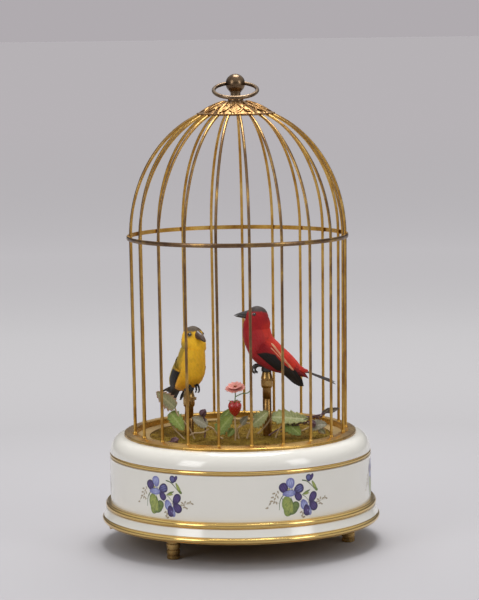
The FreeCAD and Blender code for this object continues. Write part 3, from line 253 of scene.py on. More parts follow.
def feed(tree, socket, value):
    """Link an output to a socket, or set the socket to a number, a vector or a colour."""
    if isinstance(value, bpy.types.NodeSocket):
        tree.links.new(value, socket)
    elif socket.type == "RGBA":
        socket.default_value = (*value, 1)
    else:
        socket.default_value = value


def add_node(tree, kind, output, inputs=None, **settings):
    """Add a node with its settings and inputs, and give back one of its outputs."""
    node = tree.nodes.new("ShaderNode" + kind)
    for name, value in settings.items():
        setattr(node, name, value)
    for place, value in (inputs or {}).items():
        feed(tree, node.inputs[place], value)
    return node.outputs[output]


def ramp_node(tree, value, stops):
    """Colours at places along a value from 0 to 1."""
    ramp = tree.nodes.new("ShaderNodeValToRGB")
    elements = ramp.color_ramp.elements
    for element, (position, colour) in ((elements[0], stops[0]), (elements[1], stops[-1])):
        element.position = position
        element.color = (*colour, 1)
    for position, colour in stops[1:-1]:
        elements.new(position).color = (*colour, 1)
    tree.links.new(value, ramp.inputs["Fac"])
    return ramp.outputs["Color"]


class Surface:
    """A material. Its methods add nodes and give back what comes out of them."""

    def __init__(self, name):
        self.material = bpy.data.materials.new(name)
        self.material.use_nodes = True
        self.tree = self.material.node_tree

    def node(self, kind, output, inputs=None, **settings):
        """Any node of the material."""
        return add_node(self.tree, kind, output, inputs, **settings)

    def set(self, values):
        """Set or link inputs of the surface shader."""
        shader = self.tree.nodes["Principled BSDF"]
        for name, value in values.items():
            feed(self.tree, shader.inputs[name], value)

    def noise(self, scale, detail=4.0, rough=0.55, stretch=None):
        """Noise in the object's own space, drawn out along its axes where stretch is given."""
        place = self.node("TexCoord", "Object")
        if stretch:
            place = self.node("Mapping", "Vector", {"Scale": stretch, "Vector": place})
        inputs = {"Scale": scale, "Detail": detail, "Roughness": rough, "Vector": place}
        return self.node("TexNoise", "Fac", inputs)

    def ramp(self, value, stops):
        """The colour at a value."""
        return ramp_node(self.tree, value, stops)

    def spread(self, value, low, high):
        """A value from 0 to 1 spread between two others."""
        return self.node("MapRange", "Result", {"Value": value, "To Min": low, "To Max": high})

    def share(self, value, low, high):
        """How far a value has come between two others."""
        return self.node("MapRange", "Result", {"Value": value, "From Min": low, "From Max": high})

    def mix(self, factor, first, second, blend="MIX"):
        """A blend of two colours."""
        return self.node("Mix", 2, {0: factor, 6: first, 7: second}, data_type="RGBA", blend_type=blend)

    def shaded_paint(self, shade):
        """The colour painted on the mesh's corners, darkened by the shade."""
        paint = self.node("VertexColor", "Color", layer_name=PAINT_LAYER)
        return self.mix(1.0, paint, shade, "MULTIPLY")

    def bump(self, value, strength, distance):
        """Relief that follows a value."""
        inputs = {"Height": value, "Strength": strength, "Distance": distance}
        self.set({"Normal": self.node("Bump", "Normal", inputs)})


def speckled(name, tones, rough, metallic=0.0, scale=60.0, bump=0.0, bump_scale=1500, coat=0.0, stretch=None,
             places=None):
    """A surface whose colour, roughness and relief vary with noise. Its tones run from dark to pale."""
    surface = Surface(name)
    patches = surface.noise(scale, stretch=stretch)
    smears = surface.noise(scale * 3.1)
    surface.set({
        "Base Color": surface.ramp(patches, list(zip(places or TONE_PLACES[len(tones)], tones))),
        "Roughness": surface.spread(smears, *rough),
        "Metallic": metallic,
        "Coat Weight": coat,
        "Coat Roughness": 0.08,
    })
    if bump:
        surface.bump(surface.noise(bump_scale, stretch=stretch), bump, 0.0002)
    return surface.material


def feathered(name):
    """Plumage: the painted colour with fine barbs along the feathers and a soft sheen."""
    surface = Surface(name)
    barbs = surface.noise(260, detail=5)
    shade = surface.ramp(barbs, [(0.32, (0.88, 0.88, 0.88)), (0.68, (1.0, 1.0, 1.0))])
    surface.set({
        "Base Color": surface.shaded_paint(shade),
        "Roughness": surface.spread(barbs, 0.5, 0.75),
        "Sheen Weight": 0.08,
        "Sheen Roughness": 0.4,
        SPECULAR: 0.25,
    })
    surface.bump(surface.noise(900, detail=3), 0.5, 0.00012)
    return surface.material


LACQUER = speckled("white_lacquer", [(0.80, 0.775, 0.70), (0.83, 0.81, 0.745)], (0.14, 0.2),
                   scale=9, bump=0.05, bump_scale=70, coat=0.6)
GILT = speckled("gilt_moulding", [(0.70, 0.47, 0.15), (0.78, 0.55, 0.20), (0.84, 0.62, 0.27)], (0.10, 0.16),
                metallic=1.0, scale=14, places=(0.3, 0.55, 0.8))


def brass(name, tones, rough, scale, bump, bump_scale):
    """Worn brass with its dark, middle and pale tone."""
    return speckled(name, tones, rough, metallic=1.0, scale=scale, bump=bump, bump_scale=bump_scale)


RING_BRASS = brass("ring_brass", [(0.34, 0.18, 0.04), (0.55, 0.33, 0.085), (0.74, 0.50, 0.17)], (0.2, 0.36),
                   38, 0.2, 900)


def make_cage_brass():
    """Gilt brass with a painted reflection: from a little above the gallery upwards, the wires' outer side is
    painted dark brown for the dark room it would reflect, and the inner side keeps the brighter gilt.
    """
    surface = Surface("cage_brass")
    patches = surface.noise(70, detail=5, rough=0.65)
    bright = surface.ramp(patches, [(0.3, (0.36, 0.17, 0.03)), (0.5, (0.60, 0.34, 0.07)),
                                    (0.72, (0.80, 0.54, 0.16))])
    dark_reflection = surface.ramp(patches, [(0.3, (0.13, 0.075, 0.045)), (0.52, (0.22, 0.135, 0.07)),
                                   (0.7, (0.50, 0.30, 0.085))])
    place = surface.node("NewGeometry", "Position")
    level = surface.node("VectorMath", "Vector", {0: place, 1: (1, 1, 0)}, operation="MULTIPLY")
    outward = surface.node("VectorMath", "Vector", {0: level}, operation="NORMALIZE")
    normal = surface.node("NewGeometry", "Normal")
    facing = surface.node("VectorMath", "Value", {0: outward, 1: normal}, operation="DOT_PRODUCT")
    height = surface.node("SeparateXYZ", "Z", {0: place})
    reached = surface.share(height, (RING_TOP + 4) * MM, (RING_TOP + 45) * MM)
    turned = surface.share(facing, -0.1, 0.8)
    # Painted reflection: the share of dark brown grows on faces that turn outwards and higher up the cage
    reflection_share = surface.node("Math", "Value", {0: turned, 1: reached}, operation="MULTIPLY")
    surface.set({
        "Base Color": surface.mix(reflection_share, bright, dark_reflection),
        "Roughness": surface.spread(patches, 0.40, 0.24),
        "Metallic": 1.0,
    })
    surface.bump(surface.noise(1300), 0.3, 0.0002)
    return surface.material


CAGE_BRASS = make_cage_brass()
CAP_BRASS = brass("cap_gilding", [(0.14, 0.06, 0.018), (0.31, 0.17, 0.06), (0.51, 0.31, 0.12)], (0.26, 0.42),
                  220, 0.3, 900)
AGED_BRASS = brass("aged_brass", [(0.10, 0.062, 0.036), (0.20, 0.135, 0.080), (0.34, 0.25, 0.15)],
                   (0.2, 0.34), 120, 0.15, 900)
TUBE_BRASS = brass("tube_brass", [(0.16, 0.08, 0.025), (0.32, 0.18, 0.06), (0.52, 0.33, 0.12)], (0.22, 0.36),
                   140, 0.2, 1200)
POST_BRASS = brass("post_brass", [(0.20, 0.11, 0.04), (0.42, 0.26, 0.09), (0.68, 0.48, 0.2)], (0.2, 0.36),
                   140, 0.2, 1200)
MOVEMENT_BRASS = speckled("movement_brass", [(0.60, 0.44, 0.18), (0.78, 0.60, 0.30)], (0.25, 0.4),
                          metallic=1.0, scale=50, bump=0.15, stretch=(1, 1, 12))
STEEL = speckled("movement_steel", [(0.42, 0.42, 0.43), (0.62, 0.62, 0.62)], (0.22, 0.38),
                 metallic=1.0, scale=80, bump=0.15)
BOARD_WOOD = speckled("bellows_wood", [(0.34, 0.2, 0.1), (0.52, 0.34, 0.19)], (0.45, 0.6),
                      bump=0.3, bump_scale=500, stretch=(1, 8, 8))
LEATHER = speckled("bellows_leather_skin", [(0.48, 0.37, 0.26), (0.62, 0.5, 0.38)], (0.55, 0.75),
                   scale=90, bump=0.5, bump_scale=1200)
FLOOR_PAINT = speckled("floor_card", [(0.22, 0.13, 0.035), (0.36, 0.24, 0.08)], (0.5, 0.7),
                       scale=70, bump=0.25, bump_scale=700)
BLACK_LACQUER = speckled("black_claw", [(0.012, 0.012, 0.013), (0.035, 0.033, 0.032)], (0.3, 0.5),
                         scale=300, bump=0.3, bump_scale=2500)
HORN = speckled("beak_horn", [(0.022, 0.02, 0.02), (0.07, 0.065, 0.062)], (0.1, 0.22),
                scale=160, bump=0.15, stretch=(0.3, 0.3, 1), coat=0.3)
BROWN_HORN = speckled("beak_brown", [(0.035, 0.014, 0.006), (0.13, 0.06, 0.025)], (0.3, 0.5),
                      scale=160, bump=0.15, coat=0.3)
EYE_GLASS = speckled("eye_glass", [(0.006, 0.004, 0.003), (0.02, 0.014, 0.01)], (0.03, 0.06),
                     scale=200, coat=1.0)
BERRY_RED = speckled("berry_skin", [(0.34, 0.008, 0.008), (0.52, 0.022, 0.018)], (0.14, 0.26),
                     scale=120, bump=0.2, bump_scale=900, coat=0.5)
SEED = speckled("berry_seed", [(0.30, 0.06, 0.02), (0.46, 0.17, 0.05)], (0.4, 0.6), scale=300)
STEM_PAPER = speckled("stem_paper", [(0.40, 0.27, 0.14), (0.62, 0.48, 0.30)], (0.6, 0.8), scale=150, bump=0.4)
BUD_PURPLE = speckled("bud_purple", [(0.075, 0.035, 0.05), (0.17, 0.085, 0.1)], (0.5, 0.7),
                      scale=250, bump=0.4)


def fibrous(name):
    """Dull fibres in their painted colour."""
    surface = Surface(name)
    shade = surface.ramp(surface.noise(70, detail=3), [(0.3, (0.7, 0.72, 0.6)), (0.7, (1.0, 1.0, 1.0))])
    surface.set({"Base Color": surface.shaded_paint(shade), "Roughness": 0.9, SPECULAR: 0.1})
    return surface.material


def leaf_cloth(name, base, edge, vein):
    """Stiffened leaf cloth, whose painted colour gives the edge's share in red and the vein's in green."""
    surface = Surface(name)
    paint = surface.node("VertexColor", "Color", layer_name=PAINT_LAYER)
    patches = surface.noise(140)
    darker = tuple(0.55 * value for value in base)
    ground = surface.ramp(patches, [(0.3, darker), (0.7, base)])
    edged = surface.mix(surface.node("SeparateColor", "Red", {"Color": paint}), ground, edge)
    veined = surface.mix(surface.node("SeparateColor", "Green", {"Color": paint}), edged, vein)
    surface.set({"Base Color": veined, "Roughness": surface.spread(patches, 0.5, 0.75), "Sheen Weight": 0.15})
    place = surface.node("TexCoord", "Object")
    weave = surface.node("TexWave", "Fac", {"Scale": 900, "Distortion": 2.0, "Vector": place})
    surface.bump(weave, 0.3, 0.00008)
    return surface.material


LEAF_GREEN = leaf_cloth("leaf_green", (0.27, 0.37, 0.065), (0.17, 0.22, 0.05), (0.40, 0.48, 0.16))
LEAF_GREY = leaf_cloth("leaf_grey", (0.38, 0.36, 0.25), (0.26, 0.22, 0.13), (0.52, 0.50, 0.40))
LEAF_OLIVE = leaf_cloth("leaf_olive", (0.29, 0.29, 0.14), (0.38, 0.16, 0.09), (0.42, 0.40, 0.22))
LEAF_PALE = leaf_cloth("leaf_pale", (0.38, 0.42, 0.16), (0.26, 0.24, 0.07), (0.52, 0.54, 0.30))
LEAF_DARK = leaf_cloth("leaf_dark", (0.12, 0.09, 0.06), (0.07, 0.05, 0.04), (0.2, 0.16, 0.11))
PETAL_PINK = leaf_cloth("petal_pink", (0.78, 0.22, 0.17), (0.80, 0.36, 0.30), (0.80, 0.42, 0.36))


def make_moss_material():
    """Yellow-brown moss in darker and paler patches."""
    surface = Surface("moss_fibre")
    patches = surface.noise(48, detail=6, rough=0.7)
    fine = surface.noise(420, detail=6, rough=0.7)
    ground = surface.ramp(patches, [(0.32, (0.10, 0.055, 0.010)), (0.5, (0.25, 0.155, 0.022)),
                                    (0.68, (0.40, 0.29, 0.045))])
    flecks = surface.ramp(fine, [(0.35, (0.45, 0.42, 0.4)), (0.7, (1, 1, 1))])
    surface.set({"Base Color": surface.mix(1.0, ground, flecks, "MULTIPLY"), "Roughness": 0.9, SPECULAR: 0.1})
    surface.bump(fine, 0.8, 0.0006)
    return surface.material


MOSS = make_moss_material()


# Every CAD node gets a finish; those that a richer piece stands for are replaced further down

FINISHES = {
    LACQUER: "base_shell",
    GILT: "upper_moulding middle_moulding lower_moulding",
    RING_BRASS: "gallery_ring bottom_plate bottom_screws feet winding_key start_lever",
    CAGE_BRASS: "cage_wires shoulder_band",
    CAP_BRASS: "crown_cap",
    AGED_BRASS: "crown_clamp finial suspension_ring",
    POST_BRASS: "red_post yellow_post",
    FLOOR_PAINT: "floor_plate",
    MOSS: "moss_mat",
    LEAF_GREEN: "leaves",
    STEM_PAPER: "vine_stems",
    BERRY_RED: "strawberry",
    PETAL_PINK: "blossom",
    BLACK_LACQUER: "red_feet yellow_feet",
    HORN: "red_upper_beak red_lower_beak",
    BROWN_HORN: "yellow_upper_beak yellow_lower_beak",
    STEEL: "red_spindle yellow_spindle red_pull_wire yellow_pull_wire winding_arbor click turn_lever "
           "song_lever whistle_piston",
    MOVEMENT_BRASS: "lower_movement_plate upper_movement_plate movement_pillars mainspring_barrel "
                    "centre_wheel third_wheel governor_fly cam_stack lever_cocks whistle_tube",
    BOARD_WOOD: "bellows_base bellows_board",
    LEATHER: "bellows_leather",
}
for finish, names in FINISHES.items():
    for name in names.split():
        mesh = NODES[name].data
        mesh.materials.clear()
        mesh.materials.append(finish)


def stands_for(piece, body, *names, slot=None):
    """Let a piece ride on its body, in place of the nodes that are named; the slot is not used."""
    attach(piece, body)
    if names:
        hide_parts(*names)
    return piece


# Base case

def make_case():
    """The lacquered shell: a skirt, a plain wall, a groove and a rounded shoulder."""
    skirt = [(BAND_RADIUS - WALL, SKIRT_BOTTOM), (LOWER_BEAD - 1.2, SKIRT_BOTTOM)]
    skirt += [(LOWER_BEAD - 0.95, SKIRT_BOTTOM + 0.3), (LOWER_BEAD - 1.6, 19.8)]
    skirt += [(LOWER_BEAD - 2.5, SKIRT_TOP - 0.2), (LOWER_BEAD - 2.9, SKIRT_TOP)]
    wall = [(BAND_RADIUS, z) for z in (SKIRT_TOP, 30, 45, BAND_TOP)]
    groove = [(BAND_RADIUS - 1.2, BAND_TOP), (BAND_RADIUS - 1.2, SHOULDER_BOTTOM)]
    shoulder = []
    steps = 12
    for step in range(steps + 1):
        angle = radians(90 * step / steps)
        radius = RIM_RADIUS + (BAND_RADIUS - 0.15 - RIM_RADIUS) * cos(angle) ** 0.8
        shoulder.append((radius, SHOULDER_BOTTOM + (SHELL_TOP - SHOULDER_BOTTOM) * sin(angle) ** 1.1))
    inside = [(RIM_RADIUS - WALL, SHELL_TOP), (RIM_RADIUS - WALL, LEDGE_TOP), (RIM_RADIUS - 5, LEDGE_TOP)]
    inside += [(BAND_RADIUS - WALL, LEDGE_BOTTOM), (BAND_RADIUS - WALL, 30)]
    case = lathe("base_case", skirt + wall + groove + shoulder + inside, LACQUER)
    return stands_for(case, "case", "base_shell", slot="white_lacquer")


# Name, outer radius, lowest and highest point and inner radius of each half round
BEADS = [
    ("upper", BAND_RADIUS + 0.1, BAND_TOP + 0.3, SHOULDER_BOTTOM, BAND_RADIUS - 1.6),
    ("middle", MIDDLE_BEAD, SKIRT_TOP, MIDDLE_BEAD_TOP, BAND_RADIUS),
    ("lower", LOWER_BEAD, FOOT_HEIGHT, SKIRT_BOTTOM, LOWER_BEAD_BORE),
]


def make_bead(name, node, outer, low, high, inner):
    """A gilt half round with a fine fillet along each edge."""
    middle = (low + high) / 2
    half = (high - low) / 2
    fillet = half * 0.16
    outline = [(inner, low), (outer - half * 0.62, low), (outer - half * 0.52, low + fillet)]
    steps = 8
    for step in range(steps + 1):
        angle = radians(BEAD_SIDES[0] + (BEAD_SIDES[1] - BEAD_SIDES[0]) * step / steps)
        outline.append((outer - half * 0.9 + half * 0.9 * cos(angle), middle + half * 0.86 * sin(angle)))
    outline += [(outer - half * 0.52, high - fillet), (outer - half * 0.62, high), (inner, high)]
    return stands_for(lathe(name, outline, GILT), "case", node, slot="gilt")


def make_gallery():
    """The ring that the wires stand in, with a rounded rim, a flat top and a lip at its bore."""
    outline = [(RING_BORE, RING_BOTTOM), (RIM_RADIUS - WALL, RING_BOTTOM), (RIM_RADIUS - WALL, SHELL_TOP)]
    outline.append((RIM_RADIUS + 0.25, SHELL_TOP))
    outline += arc(RIM_RADIUS - 0.55, SHELL_TOP + 0.85, 0.85, -10, 80, 5)
    outline += [(RIM_RADIUS - 1.4, RING_TOP - 0.55), (RIM_RADIUS - 2.4, RING_TOP - 0.25)]
    outline += arc(RIM_RADIUS - 3.2, RING_TOP - 0.7, 0.7, 80, 100, 2)
    outline += [(RIM_RADIUS - 4.4, RING_TOP - 0.5), (RING_BORE + 1.5, RING_TOP - 0.35)]
    outline += arc(RING_BORE + 0.6, RING_TOP - 0.6, 0.6, 80, 180, 5)
    gallery = lathe("gallery_moulding", outline, RING_BRASS)
    return stands_for(gallery, "case", "gallery_ring", slot="gilt")


def make_feet():
    """Turned brass feet with their grooves."""
    outline = [(0.01, 0), (3.5, 0), (3.9, 0.4), (3.9, 2.2), (3.4, 2.5), (3.4, 3.0), (3.95, 3.3), (3.95, 5.4)]
    outline += [(3.45, 5.7), (3.45, 6.2), (4.1, 6.5), (4.15, 9.0), (3.6, 9.4), (3.6, 9.9), (4.25, 10.2)]
    outline += [(4.25, FOOT_HEIGHT), (0.01, FOOT_HEIGHT)]
    bm = bmesh.new()
    for number in range(FOOT_COUNT):
        x, y = polar(FOOT_CIRCLE, FOOT_BEARING + 360 / FOOT_COUNT * number)
        before = len(bm.verts)
        add_lathe(bm, outline, 40, closed=False)
        move_new(bm, before, Matrix.Translation((x * MM, y * MM, 0)))
    return stands_for(finish_mesh("turned_feet", bm, POST_BRASS), "case", "feet", slot="base_brass")


# Painted violets

VIOLET_BEARING = 25.9
SPRAY_COUNT = 6
VIOLET_DARK = (0.030, 0.016, 0.085)
VIOLET = (0.115, 0.070, 0.27)
VIOLET_BLUE = (0.19, 0.20, 0.48)
VIOLET_PALE = (0.48, 0.53, 0.80)
LEAF_PAINT = (0.22, 0.30, 0.065)
LEAF_PAINT_PALE = (0.46, 0.50, 0.12)
LEAF_PAINT_DARK = (0.10, 0.155, 0.045)
EYE_YELLOW = (0.72, 0.62, 0.30)
SPRIG = (0.33, 0.24, 0.13)
SPRIG_PALE = (0.50, 0.43, 0.30)
PAINT_STEP = 0.0006


def make_paint_material():
    """Glossy china paint with faint brush marks."""
    surface = Surface("china_paint")
    shade = surface.ramp(surface.noise(900, detail=3), [(0.3, (0.72, 0.72, 0.76)), (0.7, (1.0, 1.0, 1.0))])
    surface.set({"Base Color": surface.shaded_paint(shade), "Roughness": 0.3, "Coat Weight": 0.4})
    return surface.material


def direction(angle):
    """Unit vectors along and across an angle in degrees."""
    along = Vector((cos(radians(angle)), sin(radians(angle))))
    return along, Vector((-along.y, along.x))


class Painter:
    """Flat painted shapes that lie on the band, each a little above the last.

    Places are given as distances along the band from the spray's middle and heights.
    """

    def __init__(self):
        self.bm = bmesh.new()
        self.colour = self.bm.loops.layers.float_color.new(PAINT_LAYER)
        self.level = 0
        self.bearing = 0.0

    def corner(self, across, z):
        """A corner on the band, at the height of the present level of paint."""
        radius = BAND_RADIUS + 0.02 + PAINT_STEP * self.level
        x, y = polar(radius, self.bearing + degrees(across / BAND_RADIUS))
        return self.bm.verts.new((x * MM, y * MM, z * MM))

    def paint(self, corners, colours):
        """A face with a colour at each corner."""
        face = self.bm.faces.new(corners)
        for loop, colour in zip(face.loops, colours):
            loop[self.colour] = (*colour, 1)

    def oval(self, middle, angle, length, width, inner, outer, point=0.0):
        """A petal or leaflet whose colour runs from its middle to its outline."""
        self.level += 1
        along, across = direction(angle)
        count = 20
        rings = []
        for share in (0.0, 0.55, 1.0):
            ring = []
            for step in range(count):
                turn = TURN * step / count
                blunt = 1 - point * max(0, cos(turn))
                girth = 0.5 * width * sin(turn) * (1 + 0.22 * cos(turn)) * blunt
                spot = Vector(middle) + (along * (0.5 * length * cos(turn)) + across * girth) * share
                ring.append(self.corner(spot.x, spot.y))
            rings.append(ring)
        tones = (inner, mix_colour(inner, outer, 0.35), outer)
        for number in (0, 1):
            low, high = rings[number], rings[number + 1]
            near, far = tones[number], tones[number + 1]
            for step in range(count):
                after = (step + 1) % count
                self.paint((low[step], low[after], high[after], high[step]), (near, near, far, far))

    def petal(self, middle, angle, length, width, light, dark):
        """A petal with a dark rim and brush strokes of a lighter tone."""
        length, width = 1.12 * length, 1.16 * width
        rim = mix_colour(light, dark, 0.6)
        self.oval(middle, angle, length, width, mix_colour(light, dark, 0.62), dark)
        along, across = direction(angle)
        for offset, reach in ((-0.22, 0.62), (0.02, 0.74), (0.24, 0.6)):
            spot = Vector(middle) + across * (offset * width) + along * (0.06 * length)
            self.oval(spot, angle - 14 * offset, reach * length, 0.17 * width, light, rim)

    def stroke(self, points, width, colour):
        """A brush line that thins towards its end."""
        path = smooth_path([(x, z, 0) for x, z in points], 5)
        self.level += 1
        rows = []
        for number, spot in enumerate(path):
            ahead = path[min(number + 1, len(path) - 1)] - path[max(number - 1, 0)]
            half = width / 2 * (1 - 0.6 * number / len(path))
            side = Vector((-ahead.y, ahead.x, 0)).normalized() * half
            rows.append([self.corner(edge.x, edge.y) for edge in (spot + side, spot - side)])
        for (a, b), (c, d) in zip(rows, rows[1:]):
            self.paint((a, b, d, c), [colour] * 4)

    def sprig(self, spots, turn):
        """Small dabs of seed heads round the ends of the thin stems."""
        for number, (x, z) in enumerate(spots):
            tone = mix_colour(SPRIG, SPRIG_PALE, (number % 3) / 2)
            self.oval((x, z), turn + 50 * ((number * 7) % 3 - 1), 1.9, 0.95, SPRIG_PALE, tone)

    def leaf(self):
        """The heart-shaped leaf with a light half, a dark lobe and veins."""
        middle_green = mix_colour(LEAF_PAINT, LEAF_PAINT_PALE, 0.5)
        self.oval((-8.2, 35.0), 100, 10.6, 6.6, LEAF_PAINT_PALE, LEAF_PAINT, 0.2)
        self.oval((-7.2, 32.6), 68, 8.8, 7.0, LEAF_PAINT_PALE, LEAF_PAINT, 0.1)
        self.oval((-3.6, 33.4), 66, 7.0, 4.8, LEAF_PAINT, LEAF_PAINT_DARK)
        self.oval((-5.0, 31.4), 28, 7.0, 4.2, LEAF_PAINT, LEAF_PAINT_DARK, 0.2)
        self.oval((-6.6, 34.4), 104, 8.4, 3.6, LEAF_PAINT_PALE, middle_green, 0.3)
        self.stroke([(-6.0, 39.4), (-6.2, 35.0), (-8.0, 30.0)], 0.34, LEAF_PAINT_DARK)
        self.stroke([(-5.9, 38.6), (-4.4, 35.0), (-3.4, 31.2)], 0.42, LEAF_PAINT_DARK)
        for x, z in ((-9.6, 33.2), (-9.8, 36.4), (-8.8, 31.4)):
            self.stroke([(-6.2, 37.6), ((x - 6.2) / 2, z + 1.6), (x, z)], 0.22, LEAF_PAINT)

    def spray(self, bearing):
        """One sprig with its stems, leaf, two violets and a bud."""
        self.bearing = bearing
        self.level = 0
        self.stroke([(-10.6, 41.0), (-12.6, 37.8), (-13.2, 32.4)], 0.6, LEAF_PAINT_DARK)
        self.stroke([(-11.6, 39.6), (-11.0, 37.6), (-10.2, 36.0)], 0.36, LEAF_PAINT_DARK)
        self.stroke([(-13.4, 36.4), (-17.4, 37.6), (-20.6, 33.8)], 0.3, SPRIG_PALE)
        self.stroke([(1.0, 40.4), (3.4, 38.6), (6.0, 35.6)], 0.4, LEAF_PAINT_DARK)
        self.stroke([(-1.6, 37.0), (0.6, 36.2), (3.0, 35.8)], 0.3, LEAF_PAINT)
        self.stroke([(0.4, 30.8), (1.2, 29.2), (1.6, 27.0)], 0.34, SPRIG)
        self.stroke([(10.4, 34.4), (13.6, 35.6), (17.6, 36.2)], 0.22, SPRIG_PALE)
        self.sprig([(-16.4, 42.2), (-15.0, 41.2), (-13.8, 42.8), (-17.2, 40.0), (-15.8, 39.0), (-14.0, 40.0),
                    (-17.8, 37.8), (-16.2, 37.0), (-14.8, 36.6), (-20.4, 34.0), (-18.6, 36.4)], 60)
        self.sprig([(11.6, 36.4), (12.8, 34.0), (13.4, 36.9), (14.2, 33.6), (15.2, 36.6), (16.6, 37.2),
                    (17.8, 36.4), (12.4, 35.2), (10.8, 34.9)], 20)
        self.sprig([(0.2, 30.2), (1.4, 29.0), (0.9, 27.8), (2.0, 27.2)], 80)
        self.leaf()
        self.petal((-10.3, 44.8), 118, 6.0, 4.6, VIOLET, VIOLET_DARK)
        self.petal((-6.2, 47.5), 104, 5.6, 4.4, VIOLET_PALE, VIOLET_BLUE)
        self.petal((-1.1, 43.9), 22, 5.8, 4.6, VIOLET_BLUE, VIOLET_DARK)
        self.petal((-1.6, 39.6), -52, 5.2, 3.6, VIOLET, VIOLET_DARK)
        self.petal((-7.2, 41.6), 2, 7.2, 3.2, VIOLET_PALE, VIOLET_BLUE)
        self.oval((-7.4, 44.0), 30, 1.9, 1.2, EYE_YELLOW, LEAF_PAINT_DARK)
        self.oval((-5.4, 43.8), -20, 1.7, 1.0, (0.8, 0.8, 0.74), VIOLET_DARK)
        self.petal((2.2, 34.6), -70, 5.6, 4.0, VIOLET_PALE, VIOLET_BLUE)
        self.petal((7.9, 38.2), 58, 6.4, 4.0, VIOLET, VIOLET_DARK)
        self.petal((8.3, 33.4), -48, 6.0, 4.4, VIOLET, VIOLET_DARK)
        self.petal((5.4, 30.9), -76, 5.6, 2.6, VIOLET_PALE, VIOLET_BLUE)
        self.petal((3.9, 31.1), -82, 6.0, 3.8, VIOLET, VIOLET_DARK)
        self.oval((5.3, 35.6), 20, 1.2, 0.9, (0.7, 0.66, 0.55), VIOLET_DARK)
        self.oval((3.9, 41.6), 24, 5.4, 1.3, LEAF_PAINT, LEAF_PAINT_DARK, 0.5)
        self.oval((3.6, 40.7), 6, 4.2, 1.3, LEAF_PAINT_PALE, LEAF_PAINT, 0.5)
        self.stroke([(1.0, 48.7), (4.2, 47.8), (7.0, 45.4), (9.6, 42.6)], 0.7, LEAF_PAINT_DARK)
        self.oval((9.2, 44.8), -62, 6.8, 1.9, LEAF_PAINT_PALE, LEAF_PAINT, 0.2)
        self.oval((10.4, 42.6), -40, 2.6, 1.6, LEAF_PAINT, LEAF_PAINT_DARK)
        self.petal((5.4, 49.6), 100, 4.0, 3.0, VIOLET_BLUE, VIOLET_DARK)
        self.petal((7.5, 50.0), 70, 3.6, 1.6, VIOLET, VIOLET_DARK)


def make_violets():
    """Six sprays of violets round the band."""
    painter = Painter()
    for number in range(SPRAY_COUNT):
        painter.spray(VIOLET_BEARING + 360 / SPRAY_COUNT * number)
    piece = new_piece("violet_sprays", painter.bm, make_paint_material())
    return stands_for(piece, "case", slot="white_lacquer")


make_case()
for name, outer, low, high, inner in BEADS:
    make_bead(name + "_bead", name + "_moulding", outer, low, high, inner)
make_gallery()
make_feet()
make_violets()


# Cage

def wire_line():
    """Radii and heights along one wire, from the gallery ring to the crown."""
    steps = 22
    line = [(WIRE_FOOT, RING_TOP - 0.5)]
    for step in range(1, 7):
        share = step / 6
        line.append((WIRE_FOOT + (CAGE_RADIUS - WIRE_FOOT) * share, RING_TOP + (DOME_Z - RING_TOP) * share))
    last = acos(CROWN_RADIUS / CAGE_RADIUS)
    for step in range(1, steps + 1):
        angle = last * step / steps
        line.append((CAGE_RADIUS * cos(angle), DOME_Z + DOME_HEIGHT * sin(angle)))
    return line


def make_wires():
    """Each wire leaves its line by a little, as hand-bent wire does, and stands in a small collar."""
    bm = bmesh.new()
    line = wire_line()
    for number in range(WIRE_COUNT):
        bearing = WIRE_BEARING + 360 * number / WIRE_COUNT
        lean = random.uniform(-0.35, 0.35)
        points = []
        for radius, z in line:
            share = sin(pi * min(1, max(0, (z - RING_TOP) / (DOME_Z - RING_TOP))))
            x, y = polar(radius - 0.05, bearing + lean * 0.35 * share)
            points.append((x, y, z))
        add_tube(bm, points, WIRE_RADIUS - 0.05, 12)
        x, y = polar(WIRE_FOOT, bearing)
        add_tube(bm, [(x, y, RING_TOP + rise) for rise in (-0.4, 0.3, 0.7)], [1.35, 1.25, 0.9], 12)
    return stands_for(finish_mesh("bent_wires", bm, CAGE_BRASS), "case", "cage_wires", slot="cage_brass")


def make_band():
    """The band round the wires at the dome's foot, with a drop of solder above and below at each wire."""
    inner = CAGE_RADIUS + WIRE_RADIUS - 0.05
    profile = [(0, -1.2), (0.45, -1.25), (0.8, -0.8), (0.85, 0), (0.8, 0.8), (0.45, 1.25), (0, 1.2)]
    bm = bmesh.new()
    add_lathe(bm, [(inner + out, DOME_Z + rise) for out, rise in profile], 210)
    for number in range(WIRE_COUNT):
        x, y = polar(inner - 0.1, WIRE_BEARING + 360 * number / WIRE_COUNT)
        for side in (-1, 1):
            drop = [(x * share, y * share, DOME_Z + side * rise)
                    for share, rise in ((0.998, 0.95), (1, 1.2), (0.998, 1.5))]
            add_tube(bm, drop, [0.5, 0.55, 0.2], 8)
    band = finish_mesh("soldered_band", bm, CAGE_BRASS)
    return stands_for(band, "case", "shoulder_band", slot="cage_brass")


# Crown

def cap_height(share):
    """The cap's crowned height at a share of the way in from its edge."""
    return CAP_EDGE + (CAP_TOP - CAP_EDGE) * (1 - (1 - share) ** 1.45)


CAP_LEAVES = 12
CAP_RUN = CAP_RADIUS - 5.1


def cap_relief(angle, share):
    """How far the cap's leaves, ribs, curls and edge beads stand out."""
    leaf = cos(CAP_LEAVES * angle)
    curl = cos(2 * CAP_LEAVES * angle + 7 * share) * sin(pi * share)
    bead = cos(5 * CAP_LEAVES * angle) * exp(-((share - 0.07) / 0.05) ** 2)
    leaf_rise = 0.5 * leaf * sin(pi * min(1, share * 1.5)) + 0.35 * abs(leaf) ** 6 * (1 - share)
    return leaf_rise + 0.3 * curl + 0.25 * bead


